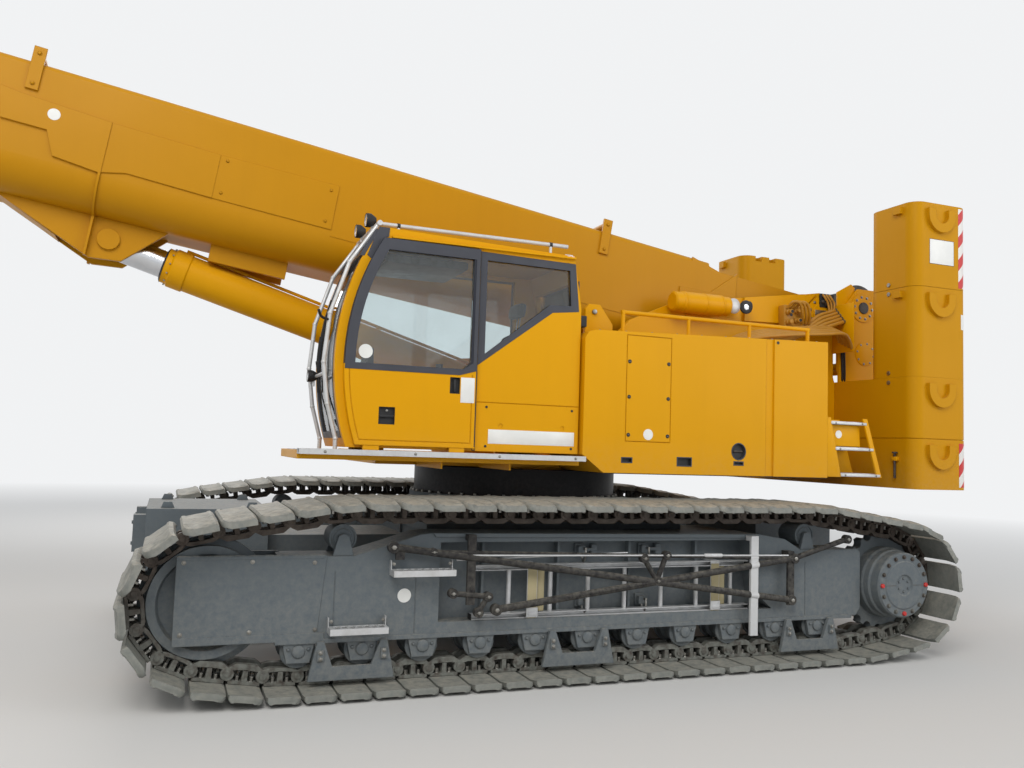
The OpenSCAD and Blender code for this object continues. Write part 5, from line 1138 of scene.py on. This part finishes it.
def add_winch_guards():
    """Side guards in front of the drum's flanges, and blank caps on the frame's openings."""
    guard = ((-3.322, 2.560), (-3.552, 2.560), (-3.552, 3.455), (-3.505, 3.490), (-3.322, 3.390))
    shape = Shape()
    for side in (-1, 1):
        shape.use("yellow").plate(guard, *span(side, 0.552, 0.570), 0.003)
        shape.lathe([(0, 0.128), (0.006, 0.128), (0.010, 0.118), (0.014, 0.0)], (-3.650, side * 0.6095, 2.760),
                    (0, side, 0), 40)
        shape.use("bolt").bolts(side * 0.619, around(-3.650, 2.760, 0.108, 8, 0.2), 0.009, 0.007)
        # Drain hoses down the frame's front edge
        for dx in (0.0, 0.03):
            shape.use("rubber").sweep([(-3.335 - dx, side * 0.590, 3.02), (-3.318 - dx, side * 0.628, 2.95),
                                       (-3.330 - dx, side * 0.632, 2.75), (-3.345 - dx, side * 0.625, 2.52),
                                       (-3.36 - dx, side * 0.60, 2.455)], 0.011, 8, 5)
    shape.done("winch_guards", "yellow_paint")


def add_rear_steps():
    """Steps with open slanted stringers, aluminium treads and a closed upper riser."""
    shape = Shape("yellow")
    foot = ((-2.990, 1.560), (-3.010, 1.500))
    shape.plate([(-2.390, 1.500), *foot[::-1], (-2.840, 2.030), (-2.390, 2.030)], 1.140, 1.160, 0.002)
    shape.plate([(-2.790, 2.030), (-2.840, 2.030), *foot, (-2.955, 1.500), (-2.940, 1.556)], 1.497, COVER_FACE, 0.002)
    shape.plate([(-2.390, 2.030), (-2.428, 2.030), (-2.545, 1.500), (-2.390, 1.500)], 1.497, COVER_FACE, 0.002)
    shape.loft([[(-2.450, y, 1.776), (low, y, 1.776), (high, y, 1.968), (-2.440, y, 1.968)]
                for y, low, high in ((1.16, -2.830, -2.830), (1.470, -2.800, -2.790))], 0.003)
    for front, rear, top in ((-2.430, -2.830, 2.000), (-2.480, -2.910, 1.770), (-2.540, -2.990, 1.535)):
        shape.use("silver").box((rear, 1.155, top - 0.030), (front, 1.522, top - 0.006), 0.003)
        for y in (1.165 + 0.038 * k for k in range(9)):
            shape.box((rear + 0.006, y, top - 0.007), (front - 0.006, y + 0.016, top), 0.002)
        shape.use("bolt").bolts(1.522, ((rear + 0.05, top - 0.018), (front - 0.05, top - 0.018)), 0.007, 0.005)
    shape.use("label").disc((-2.554, 1.4705, 1.882), LEFT, 0.036, 0.0012, 28)
    shape.done("rear_step_set", "yellow_paint", replaces=["rear_steps"])


def add_deck_details():
    shape = Shape()
    # Lamps behind the deck tube
    y = 0.695
    shape.use("lamp").lathe([(0, 0.0465), (0.004, 0.0465), (0.052, 0.0465), (0.064, 0.030), (0.068, 0.001)],
                            (-1.933, y, 3.100), (-1, 0, 0), 28)
    shape.use("rubber").lathe([(0, 0.059), (0.042, 0.059), (0.044, 0.05), (0.030, 0.042), (0.028, 0.001)],
                              (-2.094, y, 3.108), (-1, 0, 0), 28)
    shape.use("lamp").disc((-2.124, y, 3.108), (-1, 0, 0), 0.040, 0.004, 20)
    # Dome and ring lamp that face sideways
    shape.use("silver").lathe([(0, 0.062), (0.012, 0.074), (0.020, 0.074), (0.034, 0.060), (0.042, 0.030),
                               (0.044, 0.001)], (-1.925, y + 0.030, 3.096), LEFT)
    shape.use("rubber").lathe([(0, 0.052), (0.014, 0.066), (0.030, 0.066), (0.034, 0.056), (0.034, 0.030),
                               (0.026, 0.026)], (-2.062, y + 0.030, 3.096), LEFT)
    shape.use("lamp").lathe([(0.020, 0.031), (0.030, 0.031), (0.033, 0.020), (0.034, 0.001)],
                            (-2.062, y + 0.030, 3.096), LEFT, 24)
    # Bands and bolts of the tube, and plugs in the cover's top
    band = [(0, 0.099), (0.002, 0.1035), (0.018, 0.1035), (0.020, 0.099)]
    for x in (-1.80, -1.62, -1.40):
        shape.use("yellow").lathe(band, (x, y, 3.092), AHEAD)
    shape.use("bolt").bolts(0.620, ((-1.68, 3.05), (-1.52, 3.05)), 0.012, 0.010)
    for x in (-0.43, -1.07, -1.70, -2.34):
        shape.use("yellow").lathe([(-0.004, 0.036), (0.008, 0.036), (0.010, 0.030)], (x, 1.30, left_top(x)), UP, 20)
    # Anti-slip strips on the deck and bolts of the sill
    for x in (2.04 + 0.045 * k for k in range(4)):
        shape.use("rubber").box((x, 0.62, 1.5995), (x + 0.015, 1.46, 1.6015))
    shape.use("bolt").bolts(1.607, [(x, 1.595) for x in (0.12, 0.75, 1.40, 2.05)], 0.008, 0.006)
    for x in (-1.992, -0.992):
        shape.use("yellow").rod((x, 0.561, 2.295), (x, 0.679, 2.295), 0.006, 8)
    shape.done("deck_fittings", "yellow_paint")


def add_luffing_details():
    """Wiper ring and gland bolts at the barrel's mouth, and hoses at its foot."""
    along = luffed(1, 0, 0) - luffed(0, 0, 0)
    shape = Shape("rubber").lathe([(0, 0.150), (0.002, 0.1485), (0.012, 0.130), (0.016, 0.1165)],
                                  luffed(4.2697, 0, 0), along, 40)
    for y, z in around(0, 0, 0.1565, 12):
        spot = luffed(4.2255, y, z)
        shape.use("bolt").rod(spot - along * 0.002, spot + along * 0.010, 0.0065, 6)
    for side in (-1, 1):
        shape.use("hose").sweep([luffed(0.27, 0.02 * side, 0.195), luffed(0.18, 0.03 * side, 0.24),
                                 luffed(0.05, 0.05 * side, 0.235), luffed(-0.10, 0.06 * side, 0.190),
                                 luffed(-0.16, 0.06 * side, 0.10)], 0.012, 8, 6)
    shape.done("luff_barrel_fittings", "yellow_paint", "luff_barrel")


def add_head_details():
    """Bolts and limit switch on the boom's head, and marks on the hook block."""
    shape, block = Shape("bolt"), Shape()
    hook_x, pin_z = 8.414, 2.640
    tape = [(hook_x + dx, z) for dx, z in ((-0.10, 2.210), (0.10, 2.210), (0.14, 2.350), (-0.14, 2.350))]
    for side in (-1, 1):
        shape.bolts(side * 0.262, around(11.5, -0.95, 0.072, 6, 0.3), 0.010, 0.009, boomed)
        block.use("tape").plate(tape, *span(side, 0.2102, 0.2120))
        block.use("bolt").bolts(side * 0.212, around(hook_x, pin_z, 0.085, 6), 0.010, 0.009)
    shape.use("rubber").plate(rect(11.30, 11.42, -0.62, -0.54), 0.242, 0.300, 0.006, boomed)
    shape.done("head_fittings", "boom_paint", "tele_5")
    block.done("hook_block_fittings", "dark_steel", "hook")


for add in (add_tracks, add_hub, add_frame_details, add_shackles, add_ladder_details, add_carbody_details,
            add_door_trim, add_shell_trim, add_cab_lamps, add_seat, add_hood_left, add_hood_right,
            add_counterweight_details, add_boom_details, add_pivot_keepers, add_winch_rope, add_rope_run,
            add_tail_hoses, add_winch_guards, add_rear_steps, add_deck_details, add_luffing_details,
            add_head_details):
    add()
